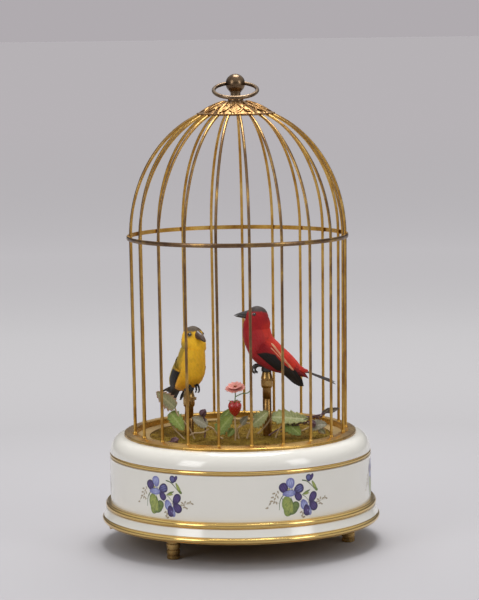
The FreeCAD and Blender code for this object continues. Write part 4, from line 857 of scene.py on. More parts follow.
def make_cap():
    """The pierced cap's leaf scrolls: twelve leaves with ribs and curls over a worked ground."""
    bm = bmesh.new()
    sides, runs = 360, 30
    rows = []
    for run in range(runs + 1):
        share = run / runs
        fade = (1 - share * 0.5) * min(1, 6 * (1 - share))
        row = []
        for step in range(sides):
            angle = TURN * step / sides
            lobes = 0.5 * abs(cos(CAP_LEAVES * angle)) * (1 - share) ** 6 - 0.5 * (1 - share)
            radius = CAP_RADIUS - 0.6 - CAP_RUN * share + lobes
            z = cap_height(share) - 0.5 + 0.55 * cap_relief(angle, share) * fade
            row.append(bm.verts.new((radius * MM * cos(angle), radius * MM * sin(angle), z * MM)))
        rows.append(row)
    skin(bm, rows)
    cap = finish_mesh("scroll_cap", bm, CAP_BRASS, 60)
    thick = cap.modifiers.new("sheet", "SOLIDIFY")
    thick.thickness = CAP_SHEET * MM
    thick.offset = -1
    return stands_for(cap, "case", "crown_cap", slot="gilt")


def swelling(least, more, count):
    """Radii along a line that swells towards its middle."""
    return [least + more * sin(pi * step / (count - 1)) for step in range(count)]


def on_cap(angle, share, lift=0.0):
    """A point on the cap at a share of the way in from its edge."""
    radius = CAP_RADIUS - 0.9 - CAP_RUN * share
    return (radius * cos(angle), radius * sin(angle), cap_height(share) - 0.25 + lift)


def make_scrolls():
    """Raised acanthus curls and ribs that lie on the cap."""
    bm = bmesh.new()
    for number in range(CAP_LEAVES):
        middle = TURN * number / CAP_LEAVES
        for side in (-1, 1):
            path = []
            for step in range(12):
                swing = side * (0.2 * sin(pi * step / 11) + 0.03)
                path.append(on_cap(middle + swing, 0.08 + 0.5 * step / 11))
            add_tube(bm, path, swelling(0.3, 0.25, 12), 6)
            curl = []
            for step in range(14):
                spin = 2.2 * pi * step / 13
                reach = 0.075 * (1 - step / 16)
                curl.append(on_cap(middle + side * (0.13 + reach * cos(spin)), 0.2 + reach * sin(spin)))
            add_tube(bm, curl, 0.3, 6)
        rib = [on_cap(middle, 0.1 + 0.75 * step / 9, 0.1) for step in range(10)]
        add_tube(bm, rib, swelling(0.25, 0.3, 10), 6)
    return stands_for(finish_mesh("cap_scrolls", bm, CAP_BRASS), "case", slot="gilt")


def make_brim():
    """The cap's thin brim, which stands out over the wires."""
    outline = [(20.0, CAP_EDGE - 0.55), (CAP_RADIUS - 0.2, CAP_EDGE - 0.55)]
    outline += [(CAP_RADIUS + 0.05, CAP_EDGE - 0.3), (CAP_RADIUS - 0.2, CAP_EDGE)]
    outline += [(CAP_RADIUS - 1.2, CAP_EDGE + 0.1), (20.0, CAP_EDGE + 0.2)]
    return stands_for(lathe("cap_brim", outline, CAP_BRASS, 180), "case", slot="gilt")


def make_finial():
    """The finial's flare, neck and ball, bored for the ring."""
    flare = [(0.01, -0.6), (4.5, -0.6), (4.6, 0), (4.4, 0.5), (3.6, 0.9), (3.1, 1.4), (2.95, 2.4)]
    outline = [(radius, CAP_TOP + rise) for radius, rise in flare]
    outline += [(3.0, BALL_Z - 5.2), (3.5, BALL_Z - 5.0), (3.5, BALL_Z - 4.55)]
    for step in range(1, 25):
        angle = radians(-58 + 148 * step / 24)
        outline.append((max(0.01, BALL_RADIUS * cos(angle)), BALL_Z + BALL_RADIUS * sin(angle)))
    ball = lathe("finial_ball", outline, AGED_BRASS, 64, closed=False)
    bm = bmesh.new()
    add_tube(bm, [(-8, 0, BORE_Z), (8, 0, BORE_Z)], BORE_RADIUS, 32)
    drill = finish_mesh("finial_drill", bm, AGED_BRASS)
    bore = ball.modifiers.new("bore", "BOOLEAN")
    bore.operation = "DIFFERENCE"
    bore.object = drill
    graph = bpy.context.evaluated_depsgraph_get()
    bored = bpy.data.meshes.new_from_object(ball.evaluated_get(graph))
    ball.modifiers.clear()
    ball.data = bored
    bpy.data.objects.remove(drill)
    return stands_for(ball, "case", "finial", slot="gilt")


def make_hanger():
    """The hanging ring, leaning back from its bore."""
    tilt = radians(HANGER_LEAN)
    reach = HANGER_RADIUS - HANGER_DROP
    count = 72
    points = []
    for step in range(count):
        angle = TURN * step / count
        y = HANGER_RADIUS * sin(angle) - reach
        points.append((HANGER_RADIUS * cos(angle), y * cos(tilt), BORE_Z + y * sin(tilt)))
    bm = bmesh.new()
    add_tube(bm, points, HANGER_WIRE, 16, closed=True)
    ring = finish_mesh("hanging_ring", bm, AGED_BRASS)
    return stands_for(ring, "hanger", "suspension_ring", slot="cage_brass")


make_wires()
make_band()
make_cap()
make_scrolls()
make_brim()
make_finial()
make_hanger()


# Coats of feathers, leaves and petals: meshes whose corners carry a colour

class Coat:
    """A mesh in millimetres with a colour at every corner of its faces."""

    def __init__(self):
        self.bm = bmesh.new()
        self.colour = self.bm.loops.layers.float_color.new(PAINT_LAYER)

    def grid(self, rows, colours, closed=False):
        """Faces between rows of points, with a colour for each point."""
        corners = [[self.bm.verts.new(Vector(point)) for point in row] for row in rows]
        count = len(rows[0])
        for low in range(len(rows) - 1):
            for number in range(count if closed else count - 1):
                after = (number + 1) % count
                spots = ((low, number), (low, after), (low + 1, after), (low + 1, number))
                face = self.bm.faces.new([corners[a][b] for a, b in spots])
                for loop, (a, b) in zip(face.loops, spots):
                    loop[self.colour] = (*colours[a][b], 1)
        return corners

    def close(self, ring, colour):
        """One face over a ring of corners."""
        face = self.bm.faces.new(ring)
        for loop in face.loops:
            loop[self.colour] = (*colour, 1)

    def form(self, point, colour, places, sides):
        """A smooth form with a coloured ring of points at each place, left open at its ends."""
        angles = [TURN * step / sides - pi for step in range(sides)]
        rows = [[point(place, angle) for angle in angles] for place in places]
        colours = [[colour(place, angle) for angle in angles] for place in places]
        return self.grid(rows, colours, closed=True)

    def finish(self, name, material, place=None, thickness=0.0):
        """The object in metres, placed, smoothed and thickened where that is asked for."""
        if place:
            bmesh.ops.transform(self.bm, matrix=place, verts=self.bm.verts)
        bmesh.ops.scale(self.bm, vec=(MM, MM, MM), verts=self.bm.verts)
        for face in self.bm.faces:
            face.smooth = True
        piece = new_piece(name, self.bm, material)
        if thickness:
            sheet = piece.modifiers.new("sheet", "SOLIDIFY")
            sheet.thickness = thickness * MM
            sheet.offset = 0
        return piece


def feather_width(share, point):
    """A feather's width at a share of its length: narrow at the root, rounded or pointed at its tip."""
    root = min(1.0, 0.4 + 2.4 * share)
    if share < 0.5:
        return root
    return root * max(0.0, 1 - ((share - 0.5) / 0.5) ** (3.2 - 1.9 * point)) ** 0.5


def add_feather(coat, spot, length, width, inner, outer, point=0.3, lift=0.3, camber=0.18, steps=6, across=4,
                pattern=None):
    """A feather on a surface; spot(along, across, lift) gives a point in millimetres from the feather's root.

    The colour runs from its middle to its edge, or follows a pattern of distances along and across.
    """
    shade = random.uniform(0.93, 1.07)
    rows, colours = [], []
    for step in range(steps + 1):
        share = step / steps
        half = width / 2 * feather_width(share, point) + 0.02
        row, tints = [], []
        for number in range(across + 1):
            x = 2 * number / across - 1
            row.append(spot(length * share, half * x, lift * share - camber * x * x))
            if pattern:
                tint = pattern(length * share, half * x)
            else:
                tint = mix_colour(inner, outer, abs(x) * 0.5 + 0.5 * share ** 2)
            streak = 0.95 + 0.05 * sin(9 * x + 14 * share)
            tints.append(tuple(min(1.0, value * shade * streak) for value in tint))
        rows.append(row)
        colours.append(tints)
    coat.grid(rows, colours)


def flat_spot(root, along, normal):
    """Places on a flat feather that starts at its root and lies along a direction."""
    cross = normal.cross(along).normalized()

    def spot(run, across, height):
        return root + along * run + cross * across + normal * height

    return spot


# Birds: u runs forwards, v to the left and w upwards from the collar's top on the post's axis

BODY_LENGTH = 44.0
BODY_WIDTH = 17.2
BODY_REAR = (-21.0, -0.5)
BODY_TILT = radians(44.1)
ALONG = (sin(BODY_TILT), cos(BODY_TILT))
BELOW = (cos(BODY_TILT), -sin(BODY_TILT))
NECK = 26.3

# Places along the body with its middle's offset and its radius, as shares of the width
BODY_LINE = [(-0.10, 0.0, 0.02), (-0.023, 0.047, 0.110), (0.114, 0.140, 0.279), (0.273, 0.244, 0.413),
             (0.455, 0.337, 0.488), (0.636, 0.341, 0.502), (0.773, 0.242, 0.480), (0.909, 0.118, 0.408),
             (1.0, 0.0, 0.349)]
WING_LINE = [(-0.30, 0.22, 0.20), (-0.182, 0.186, 0.262), (-0.023, 0.116, 0.250), (0.114, 0.140, 0.279)]
WING_LINE += BODY_LINE[3:]

# Heights of the head with its centre and its radius
HEAD_LINE = [(26.65, 5.95, 6.98), (28.0, 5.8, 6.95), (30.0, 5.6, 6.95), (32.0, 5.5, 6.95), (34.1, 5.5, 6.65),
             (36.5, 5.4, 5.6), (38.2, 5.3, 3.9), (39.1, 5.3, 2.0), (39.45, 5.3, 0.2)]

BLACK = (0.016, 0.013, 0.012)
BLACK_EDGE = (0.045, 0.034, 0.028)
CREAM = (0.72, 0.50, 0.28)
COLOURS = {
    "red": {"main": (0.30, 0.007, 0.011), "light": (0.41, 0.012, 0.016), "dark": (0.15, 0.004, 0.007),
            "back": (0.62, 0.030, 0.013), "cap": (0.060, 0.044, 0.040), "tail": (0.024, 0.018, 0.016),
            "edge": CREAM},
    "yellow": {"main": (0.96, 0.46, 0.012), "light": (1.0, 0.56, 0.022), "dark": (0.78, 0.31, 0.008),
               "back": (0.74, 0.56, 0.05), "cap": (0.10, 0.075, 0.05), "tail": (0.018, 0.014, 0.012),
               "edge": (0.66, 0.55, 0.12)},
}
OLIVE = (0.20, 0.18, 0.025)
BREAST = {"red": 0.7, "yellow": 1.6}
THROAT = {"red": 0.8, "yellow": 0.5}
SLIM = {"red": 0.0, "yellow": 0.09}
NAPE = 1.8
HEAD_FOOT = HEAD_LINE[0][0]
HEAD_RISE = 12.8
BEAK_HEIGHT = 34
EYES = {"red": {"angle": 1.32, "height": 34.9}, "yellow": {"angle": 0.98, "height": 34.7}}
BEAKS = {
    "red": {"width": 2.15, "taper": 0.72, "shorter": 0.0, "droop": 0.35, "bend": 2.5, "horn": HORN},
    "yellow": {"width": 2.6, "taper": 0.6, "shorter": 0.9, "droop": 2.9, "bend": 1.7, "horn": BROWN_HORN},
}
FLIGHT_FEATHERS = {"red": 9, "yellow": 6}
TAIL_SLOPE = 21.5

# How far forwards, how far apart and how high the bent part of each toe reaches
TOE_CURL = [(5.8, 1, 3.9), (7.3, 1.1, 2.9), (7.8, 1.2, 1.4), (7.2, 1.2, 0.0), (6.1, 1.1, -0.5)]


def sampled(line):
    """Close points of the curve through a line's points."""
    return [tuple(spot) for spot in smooth_path(line, 8)]


def value_at(samples, place):
    """The further values of a sampled line at a place along it, which its first values give."""
    if place <= samples[0][0]:
        return samples[0][1:]
    for before, after in zip(samples, samples[1:]):
        if place <= after[0]:
            share = (place - before[0]) / max(1e-9, after[0] - before[0])
            return tuple(a + (b - a) * share for a, b in zip(before[1:], after[1:]))
    return samples[-1][1:]


BODY_SAMPLES = sampled(BODY_LINE)
WING_SAMPLES = sampled(WING_LINE)
HEAD_SAMPLES = sampled(HEAD_LINE)


def in_front(angle):
    """1 over the bird's front, fading to 0 at its sides."""
    return 1 - step_between(0.75, 1.25, abs(angle))


def fullness(bird, place, angle):
    """How much fuller the body is than the plain form at the breast, the throat and the nape."""
    breast = BREAST[bird] * in_front(angle) * step_between(0.12, 0.4, place) * step_between(0.88, 0.6, place)
    throat = THROAT[bird] * in_front(angle) * step_between(0.66, 0.86, place) * step_between(1.02, 0.9, place)
    nape = NAPE * step_between(2.2, 2.9, abs(angle)) * step_between(0.6, 0.76, place)
    return breast + throat + nape


def body_point(place, angle, extra=0.0):
    """A point of the body, at a part of its length and an angle from its breast."""
    offset, radius = value_at(BODY_SAMPLES, place)
    radius = radius * BODY_WIDTH + extra
    below = offset * BODY_WIDTH + radius * cos(angle)
    run = place * BODY_LENGTH
    return Vector((BODY_REAR[0] + run * ALONG[0] + below * BELOW[0], radius * sin(angle),
                   BODY_REAR[1] + run * ALONG[1] + below * BELOW[1]))


def wing_height(u, w):
    """How far the plumage under a wing stands off the bird's middle."""
    run = (u - BODY_REAR[0]) * ALONG[0] + (w - BODY_REAR[1]) * ALONG[1]
    below = (u - BODY_REAR[0]) * BELOW[0] + (w - BODY_REAR[1]) * BELOW[1]
    offset, radius = value_at(WING_SAMPLES, run / BODY_LENGTH)
    squared = (radius * BODY_WIDTH) ** 2 - (below - offset * BODY_WIDTH) ** 2
    return sqrt(max(squared, 4.0))


def head_point(bird, w, angle, extra=0.0):
    """A point of the head at a height and an angle from its front, fuller at the throat and the nape."""
    centre, radius = value_at(HEAD_SAMPLES, w)
    throat = THROAT[bird] * in_front(angle) * step_between(32.5, 29.0, w)
    nape = 0.75 * NAPE * step_between(2.0, 2.9, abs(angle)) * step_between(33.5, 28.5, w)
    slim = SLIM[bird] * step_between(29.5, 33.5, w) * step_between(2.5, 1.8, abs(angle))
    radius = radius * (1 - slim) + extra + throat + nape
    return Vector((centre + radius * cos(angle), radius * sin(angle), w))


def body_colour(bird, place, angle):
    """The main colour, paler towards the breast, darker under the belly and the back's colour behind."""
    tones = COLOURS[bird]
    back = step_between(1.7, 2.6, abs(angle))
    under = step_between(0.45, 0.15, place) * (1 - back)
    tone = mix_colour(tones["main"], tones["light"], step_between(0.5, 0.85, place))
    tone = mix_colour(tone, tones["dark"], 0.75 * under)
    tone = mix_colour(tone, tones["back"], back)
    if bird == "yellow":
        shoulder = step_between(0.9, 1.5, abs(angle)) * (1 - step_between(2.2, 2.8, abs(angle)))
        tone = mix_colour(tone, OLIVE, 0.7 * shoulder * step_between(0.2, 0.5, place))
    return tone


def head_colour(bird, w, angle):
    """The body's colour at the neck, paler above it, with a dark cap and the yellow bird's dark eye patch."""
    tones = COLOURS[bird]
    nape = step_between(1.9, 2.7, abs(angle))
    tone = mix_colour(tones["light"], tones["main"], nape)
    tone = mix_colour(tone, body_colour(bird, 0.9, angle), 0.9 * step_between(32.5, 27.5, w))
    cap_edge = 36.4 - 0.9 * nape
    if bird == "yellow":
        eye = exp(-(((abs(angle) - 0.98) / 0.28) ** 2 + ((w - 34.9) / 1.5) ** 2))
        tone = mix_colour(tone, tones["cap"], 1.4 * eye)
    return mix_colour(tone, tones["cap"], step_between(cap_edge - 0.5, cap_edge + 0.5, w))


def under_neck(point):
    """The point, lowered to the plane where the turning head begins if it is above it."""
    return Vector((point.x, point.y, min(point.z, NECK)))


def body_spot(bird, start, angle, lean):
    """Places on a body feather, which runs from its root towards the rump."""

    def spot(run, across, height):
        place = start - run / BODY_LENGTH
        girth = max(1.2, value_at(BODY_SAMPLES, place)[1] * BODY_WIDTH)
        turn = angle + (across + run * lean) / girth
        return under_neck(body_point(place, turn, fullness(bird, place, turn) + height - 0.15))

    return spot


def tier_angle(number, tier, count):
    """The angle of a feather in its tier, a little off its even place and shifted in every other tier."""
    return TURN * (number + 0.5 * (tier % 2) + random.uniform(-0.2, 0.2)) / count - pi


def add_rump(coat, bird):
    """Three rows of feathers that lie over the root of the tail."""
    tones = COLOURS[bird]
    edge = mix_colour(tones["back"], tones["dark"], 0.4)
    for tier in range(3):
        for number in range(9):
            side = (number - 4) / 4
            height = 7.3 - 2.1 * tier - 1.5 * side * side
            root = Vector((-14.6 - 2.2 * tier, side * (3.2 - 0.5 * tier), height))
            along = Vector((-0.78 - 0.07 * tier, -0.1 * side, -0.60 + 0.11 * tier)).normalized()
            normal = Vector((along.z, side * 0.5, -along.x)).normalized()
            add_feather(coat, flat_spot(root, along, normal), 6.2, 2.2, tones["back"], edge, 0.6, 0.02, 0.2)


def make_plumage(bird, place):
    """The body: a smooth form under rows of small feathers that lie towards the rump."""

    def form(share, angle):
        return under_neck(body_point(share, angle, fullness(bird, share, angle) - 0.35))

    coat = Coat()
    runs = 64
    places = [-0.10 + 1.08 * run / runs for run in range(runs + 1)]
    rings = coat.form(form, partial(body_colour, bird), places, 56)
    coat.close(rings[0], COLOURS[bird]["dark"])
    coat.close(rings[-1], COLOURS[bird]["main"])
    tier = 0
    start = 0.02
    while start < 1.0:
        radius = value_at(BODY_SAMPLES, start)[1]
        count = max(6, int(TURN * radius * BODY_WIDTH / 2.1))
        for number in range(count):
            angle = tier_angle(number, tier, count)
            if body_point(start, angle).z > NECK + 1.5:
                continue
            spot = body_spot(bird, start, angle, random.uniform(-0.12, 0.12))
            tone = body_colour(bird, start, angle)
            pale = mix_colour(tone, (1, 1, 1), 0.02)
            add_feather(coat, spot, random.uniform(5.0, 6.8), 2.7, tone, pale, 0.45, 0.18, 0.05, 5, 2)
        tier += 1
        start += 0.036
    add_rump(coat, bird)
    return coat.finish(bird + "_plumage", PLUMAGE, place)


WING_ROOT = (2.5, 14.5)
WING_RUN = (-0.739, -0.674)
WING_RISE = (-0.674, 0.739)


def wing_point(side, run, rise, extra):
    """A point of a wing from its shoulder, along its length and up across it."""
    u = WING_ROOT[0] + run * WING_RUN[0] + rise * WING_RISE[0]
    w = WING_ROOT[1] + run * WING_RUN[1] + rise * WING_RISE[1]
    return Vector((u, side * (wing_height(u, w) + extra), w))


# Distances along the wing with the height of its lower and upper edge
LOWER_EDGE = [(-2.7, 1.0), (-0.4, -3.4), (7, -4.0), (17, -3.5), (28, -3.5), (31.6, -2.6), (33.4, -0.6)]
UPPER_EDGE = [(-2.7, 2.5), (-0.6, 7.6), (6, 7.8), (14.5, 6.9), (20, 4.6), (27, 2.4), (31.5, 0.9),
              (33.4, -0.4)]

# Distances along the wing with the height up to which its feathers are black
BLACK_LINES = {
    "red": [(-1.0, -4.6), (2.3, -0.2), (7.7, 2.7), (14.4, 1.5), (20, 1.4), (25, 5.0), (34, 8.0)],
    "yellow": [(-2.0, -4.6), (0.0, -2.0), (3.0, 1.8), (9, 4.2), (16, 3.2), (26, 4.0), (34, 8.0)],
}


def covert_tone(bird, run, rise):
    """The colour above the black: the breast's at the shoulder, the back's further up and along."""
    tones = COLOURS[bird]
    along = step_between(-1, 5, rise) * step_between(1, 9, run)
    tone = mix_colour(tones["main"], tones["back"], max(along, step_between(2.5, 7.0, rise)))
    if bird == "yellow":
        tone = mix_colour(tone, OLIVE, 0.8 * step_between(13, 3, run) * step_between(-4.5, 0.5, rise))
    return tone


def wing_tone(bird, run, rise):
    """Black flight feathers up to a line across the wing, and the back's colour above it."""
    edge = value_at(BLACK_LINES[bird], run)[0]
    return mix_colour(BLACK, covert_tone(bird, run, rise), step_between(edge - 0.3, edge + 0.4, rise))


def lay_feather(coat, bird, side, root, turn, size, tones, level, point, painted=False):
    """A feather on a wing, from a root given along and up the wing, in the direction of its turn."""

    def spot(run, across, height):
        along = root[0] + run * cos(turn) - across * sin(turn)
        rise = root[1] + run * sin(turn) + across * cos(turn)
        return wing_point(side, along, rise, min(1.25, level + height))

    def pattern(run, across):
        return wing_tone(bird, root[0] + run, root[1] + across)

    add_feather(coat, spot, *size, *tones, point, 0.14, 0.14, 8, 4, pattern if painted else None)


def add_wing(coat, bird, side):
    """A base sheet, long flight feathers, rows of coverts and two pale lines along the back."""
    tones = COLOURS[bird]
    black = (BLACK, BLACK_EDGE)
    lay = partial(lay_feather, coat, bird, side)
    rows, colours = [], []
    for step in range(35):
        run = -2.6 + 36.0 * step / 34
        low = value_at(LOWER_EDGE, run)[0]
        high = value_at(UPPER_EDGE, run)[0]
        rises = [low + (high - low) * number / 12 for number in range(13)]
        rows.append([wing_point(side, run, rise, 0.35) for rise in rises])
        colours.append([wing_tone(bird, run, rise) for rise in rises])
    coat.grid(rows, colours)
    coat.grid([[Vector((p.x, p.y - side * 0.5, p.z)) for p in row] for row in rows], colours)
    for number in range(FLIGHT_FEATHERS[bird]):
        start, rise = 10 - 0.9 * number, -2.2 + 0.5 * number
        tip, end = 33.3 - 1.25 * number, -1.0 + 0.3 * number
        turn = atan2(end - rise, tip - start)
        lay((start, rise), turn, (tip - start, 3.1), black, 0.42 + 0.05 * number, 0.75)
    for tier in range(5):
        for number in range(5):
            root = (10.0 - 3.0 * tier + 0.4 * number, -3.0 + 1.3 * number)
            lay(root, 0.02, (6.4, 2.3), black, 0.7 + 0.08 * tier, 0.3, True)
    for tier in range(8):
        for number in range(3):
            run = 16.0 - 2.5 * tier
            rise = 3.5 + 1.6 * number - 0.09 * run
            tone = covert_tone(bird, run, rise)
            lay((run, rise), -0.06, (6.2, 2.6), (tone, tone), 0.8, 0.35, True)
    for number in range(9):
        run = 1.6 + 2.0 * number
        pale = mix_colour(tones["edge"], tones["back"], random.uniform(0.0, 0.35))
        root = (run, 6.5 - 0.19 * run + random.uniform(-0.15, 0.15))
        lay(root, -0.1, (5.0, 1.05), (pale, mix_colour(pale, tones["back"], 0.6)), 1.05, 0.6)
    for number in range(4):
        run = 3.0 + 2.2 * number
        pale = mix_colour(tones["edge"], tones["back"], 0.35)
        root = (run, 4.4 - 0.1 * run)
        lay(root, -0.06, (4.4, 0.6), (pale, mix_colour(pale, tones["back"], 0.7)), 1.05, 0.7)


def make_wings(bird, place):
    """Both wings in one coat of feathers."""
    coat = Coat()
    for side in (-1, 1):
        add_wing(coat, bird, side)
    return coat.finish(bird + "_wing_feathers", PLUMAGE, place)


def head_feather(bird, w, angle):
    """Places and colours of a head feather, which runs down and a little backwards from its root."""
    back = 0.16 * copysign(sin(min(abs(angle), pi)), angle)

    def spot(run, across, height):
        girth = max(1.0, value_at(HEAD_SAMPLES, max(w - run, HEAD_FOOT))[1])
        return head_point(bird, w - run, angle + (across + run * back) / girth, height)

    def tint(run, _):
        return head_colour(bird, w - 0.35 - 0.85 * run, angle)

    return spot, tint


def make_head(bird, place):
    """The head: a smooth form, short feathers that lie back and down, and a fringe over the neck."""
    coat = Coat()
    runs = 40
    heights = [HEAD_FOOT + HEAD_RISE * (1 - (1 - run / runs) ** 1.6) for run in range(runs + 1)]
    rings = coat.form(partial(head_point, bird, extra=-0.15), partial(head_colour, bird), heights, 48)
    coat.close(rings[-1], COLOURS[bird]["cap"])
    coat.close(rings[0], COLOURS[bird]["main"])
    w = 28.2
    tier = 0
    while w < 39.2:
        count = max(5, int(TURN * value_at(HEAD_SAMPLES, w)[1] / 1.5))
        length = 3.2 if w < 33 else 2.6
        lift, camber = (-0.12, 0.05) if tier < 3 else (0.1, 0.1)
        for number in range(count):
            angle = tier_angle(number, tier, count)
            near_beak = abs(angle) < 0.42 and 31.2 < w < 36.4
            if near_beak:
                continue
            spot, tint = head_feather(bird, w, angle)
            reach = length * random.uniform(0.75, 1.2) if tier else random.uniform(2.0, 4.0)
            add_feather(coat, spot, reach, 1.9, None, None, 0.35, lift, camber, 4, 2, tint)
        tier += 1
        w += 0.85
    return coat.finish(bird + "_head_feathers", PLUMAGE, place)


def scaled(place):
    """The same placement for meshes that are already in metres."""
    turned = place.copy()
    turned.translation = place.translation * MM
    return turned


def make_eyes(bird, place):
    """Two glass beads in thin lids."""
    bm = bmesh.new()
    for side in (-1, 1):
        angle = side * EYES[bird]["angle"]
        middle = head_point(bird, EYES[bird]["height"], angle, -0.5)
        outward = Vector((cos(angle), sin(angle), 0.15)).normalized()
        turn = outward.to_track_quat("Z", "Y").to_matrix()
        before = len(bm.verts)
        bmesh.ops.create_uvsphere(bm, u_segments=24, v_segments=16, radius=1.05 * MM)
        move_new(bm, before, Matrix.Translation(middle * MM) @ turn.to_4x4())
        lid = []
        for step in range(20):
            spin = TURN * step / 20
            lid.append(middle + outward * 0.3 + turn @ Vector((1.08 * cos(spin), 1.08 * sin(spin), 0)))
        add_tube(bm, lid, 0.16, 6, closed=True)
    bmesh.ops.transform(bm, matrix=scaled(place), verts=bm.verts)
    return finish_mesh(bird + "_eyes", bm, EYE_GLASS)


def make_beak(bird, place, upper):
    """One half of the beak, with a ridge, cutting edges and a bent tip."""
    bm = bmesh.new()
    beak = BEAKS[bird]
    sign, root, tip, depth = (1, 9.9, 19.15, 2.75) if upper else (-1, 10.6, 18.35, 2.05)
    tip -= beak["shorter"]
    steps, around = 20, 16
    rings = []
    for step in range(steps + 1):
        share = step / steps
        size = (1 - share) ** beak["taper"]
        height = 0.1 + depth * size
        width = 0.12 + beak["width"] * size
        middle = BEAK_HEIGHT - beak["droop"] * share ** beak["bend"]
        ring = []
        for number in range(around + 1):
            angle = pi * number / around
            ridge = 1 + 0.08 * exp(-((angle - pi / 2) / 0.35) ** 2)
            z = middle + sign * (0.1 + height * sin(angle) ** 0.9 * ridge)
            ring.append(bm.verts.new(Vector((root + (tip - root) * share, width * cos(angle), z)) * MM))
        rings.append(ring)
    for low, high in zip(rings, rings[1:]):
        skin(bm, (low, high), closed=False)
        bm.faces.new((low[0], high[0], high[-1], low[-1]))
    bm.faces.new(rings[0])
    bm.faces.new(rings[-1])
    bmesh.ops.transform(bm, matrix=scaled(place), verts=bm.verts)
    return finish_mesh(bird + ("_bill" if upper else "_lower_bill"), bm, beak["horn"])


def make_tail(bird, place):
    """Nine long feathers, the outer ones longest, so that the end is forked."""
    coat = Coat()
    slope = radians(TAIL_SLOPE)
    tone = COLOURS[bird]["tail"]
    edge = mix_colour(tone, (0.12, 0.09, 0.075), 0.25)
    normal = Vector((-sin(slope), 0, cos(slope)))
    for number in (0, 1, -1, 2, -2, 3, -3, 4, -4):
        start = Vector((-22.2, 0.34 * number, 0.75 - 0.07 * abs(number)))
        droop = slope + 0.012 * (abs(number) - 2)
        aim = Vector((-cos(droop), 0.038 * number, -sin(droop))).normalized()
        reach = 15.8 + 4.6 * (abs(number) / 4) ** 1.2
        add_feather(coat, flat_spot(start, aim, normal), reach, 2.3, tone, edge, 0.7, 0.05, 0.22, 10, 4)
    return coat.finish(bird + "_tail_feathers", PLUMAGE, place, 0.18)


def make_claws(bird, place):
    """The sleeve under the body, with four toes that curl forwards and two short legs."""
    bm = bmesh.new()
    sleeve = [(1.5, 0), (2.6, 0), (3.1, 0.5), (3.2, 1.6), (3.0, 2.6), (3.2, 3.4), (3.2, 4.2), (1.5, 4.2)]
    add_lathe(bm, sleeve, 28)
    for side in (-1, 1):
        for splay, reach in ((-0.5, -0.9), (0.5, 0.7)):
            toe = [(0.8, side * 2.2, 3.2), (3.4 + 0.4 * reach, side * 2.4 + splay * 0.4, 4.0)]
            toe += [(u + reach, side * 2.5 + splay * spread, w) for u, spread, w in TOE_CURL]
            toe = smooth_path(toe, 5)
            count = len(toe)
            radii = [0.78 - 0.52 * (step / count) ** 2 + 0.07 * sin(1.3 * step) for step in range(count)]
            add_tube(bm, toe, radii, 8)
        add_tube(bm, [(0.5, side * 2.2, 3.6), (0.2, side * 2.3, 4.1)], [0.9, 1.1], 8)
    bmesh.ops.transform(bm, matrix=scaled(place), verts=bm.verts)
    return finish_mesh(bird + "_claws", bm, BLACK_LACQUER)


def make_perch(bird, x, y, top):
    """The post, with its turned collar, ring line and set screw."""
    collar = [(1.35, -0.4), (2.55, 0), (2.75, -0.15), (2.9, -1.2), (3.3, -3.0), (3.5, -3.6), (3.5, -4.2),
              (3.25, -4.4), (3.25, -4.7), (3.5, -4.9), (3.5, -8.0), (3.3, -8.9), (3.0, -9.5), (2.6, -9.6),
              (1.35, -9.6)]
    tube = [(1.35, -9.5), (2.6, -9.5), (2.6, -15.9), (2.45, -16.1), (2.45, -16.3), (2.6, -16.5)]
    middle = Matrix.Translation((x * MM, y * MM, 0))
    bm = bmesh.new()
    add_lathe(bm, [(radius, top + rise) for radius, rise in collar], 48)
    bmesh.ops.transform(bm, verts=bm.verts, matrix=middle)
    add_tube(bm, [(x + out, y, top - 4.8) for out in (3.1, 4.2, 4.45)], [0.9, 0.9, 0.7], 16)
    stands_for(finish_mesh(bird + "_collar", bm, POST_BRASS), "case", slot="base_brass")
    bm = bmesh.new()
    add_lathe(bm, [(radius, top + rise) for radius, rise in tube] + [(2.6, POST_FOOT), (1.35, POST_FOOT)], 48)
    bmesh.ops.transform(bm, verts=bm.verts, matrix=middle)
    return finish_mesh(bird + "_perch", bm, TUBE_BRASS)


PLUMAGE = feathered("plumage")


def make_bird(bird):
    """The pieces of one bird, each on the body that it moves with."""
    spot = BIRDS[bird]
    post = Matrix.Translation((spot["x"], spot["y"], spot["top"]))
    body = post @ Matrix.Rotation(radians(spot["heading"]), 4, "Z")
    head = post @ Matrix.Rotation(radians(spot["head"]), 4, "Z")
    coat = bird + "_feather"
    turning = bird + "_head_turning"
    stands_for(make_plumage(bird, body), "case", bird + "_body", slot=coat)
    stands_for(make_wings(bird, body), "case", bird + "_wings", slot="black_feather")
    stands_for(make_head(bird, head), turning, bird + "_head", slot=coat)
    stands_for(make_eyes(bird, head), turning, slot="dark_horn")
    stands_for(make_beak(bird, head, True), turning, bird + "_upper_beak", slot="dark_horn")
    stands_for(make_beak(bird, head, False), bird + "_jaw", bird + "_lower_beak", slot="dark_horn")
    stands_for(make_tail(bird, body), bird + "_tail_rocking", bird + "_tail", slot="black_feather")
    stands_for(make_claws(bird, body), "case", bird + "_feet", slot="black_metal")
    stands_for(make_perch(bird, spot["x"], spot["y"], spot["top"]), "case", bird + "_post", slot="base_brass")


for bird in BIRDS:
    make_bird(bird)


# Plants and moss on the floor

FLOOR_TOP = 64.3


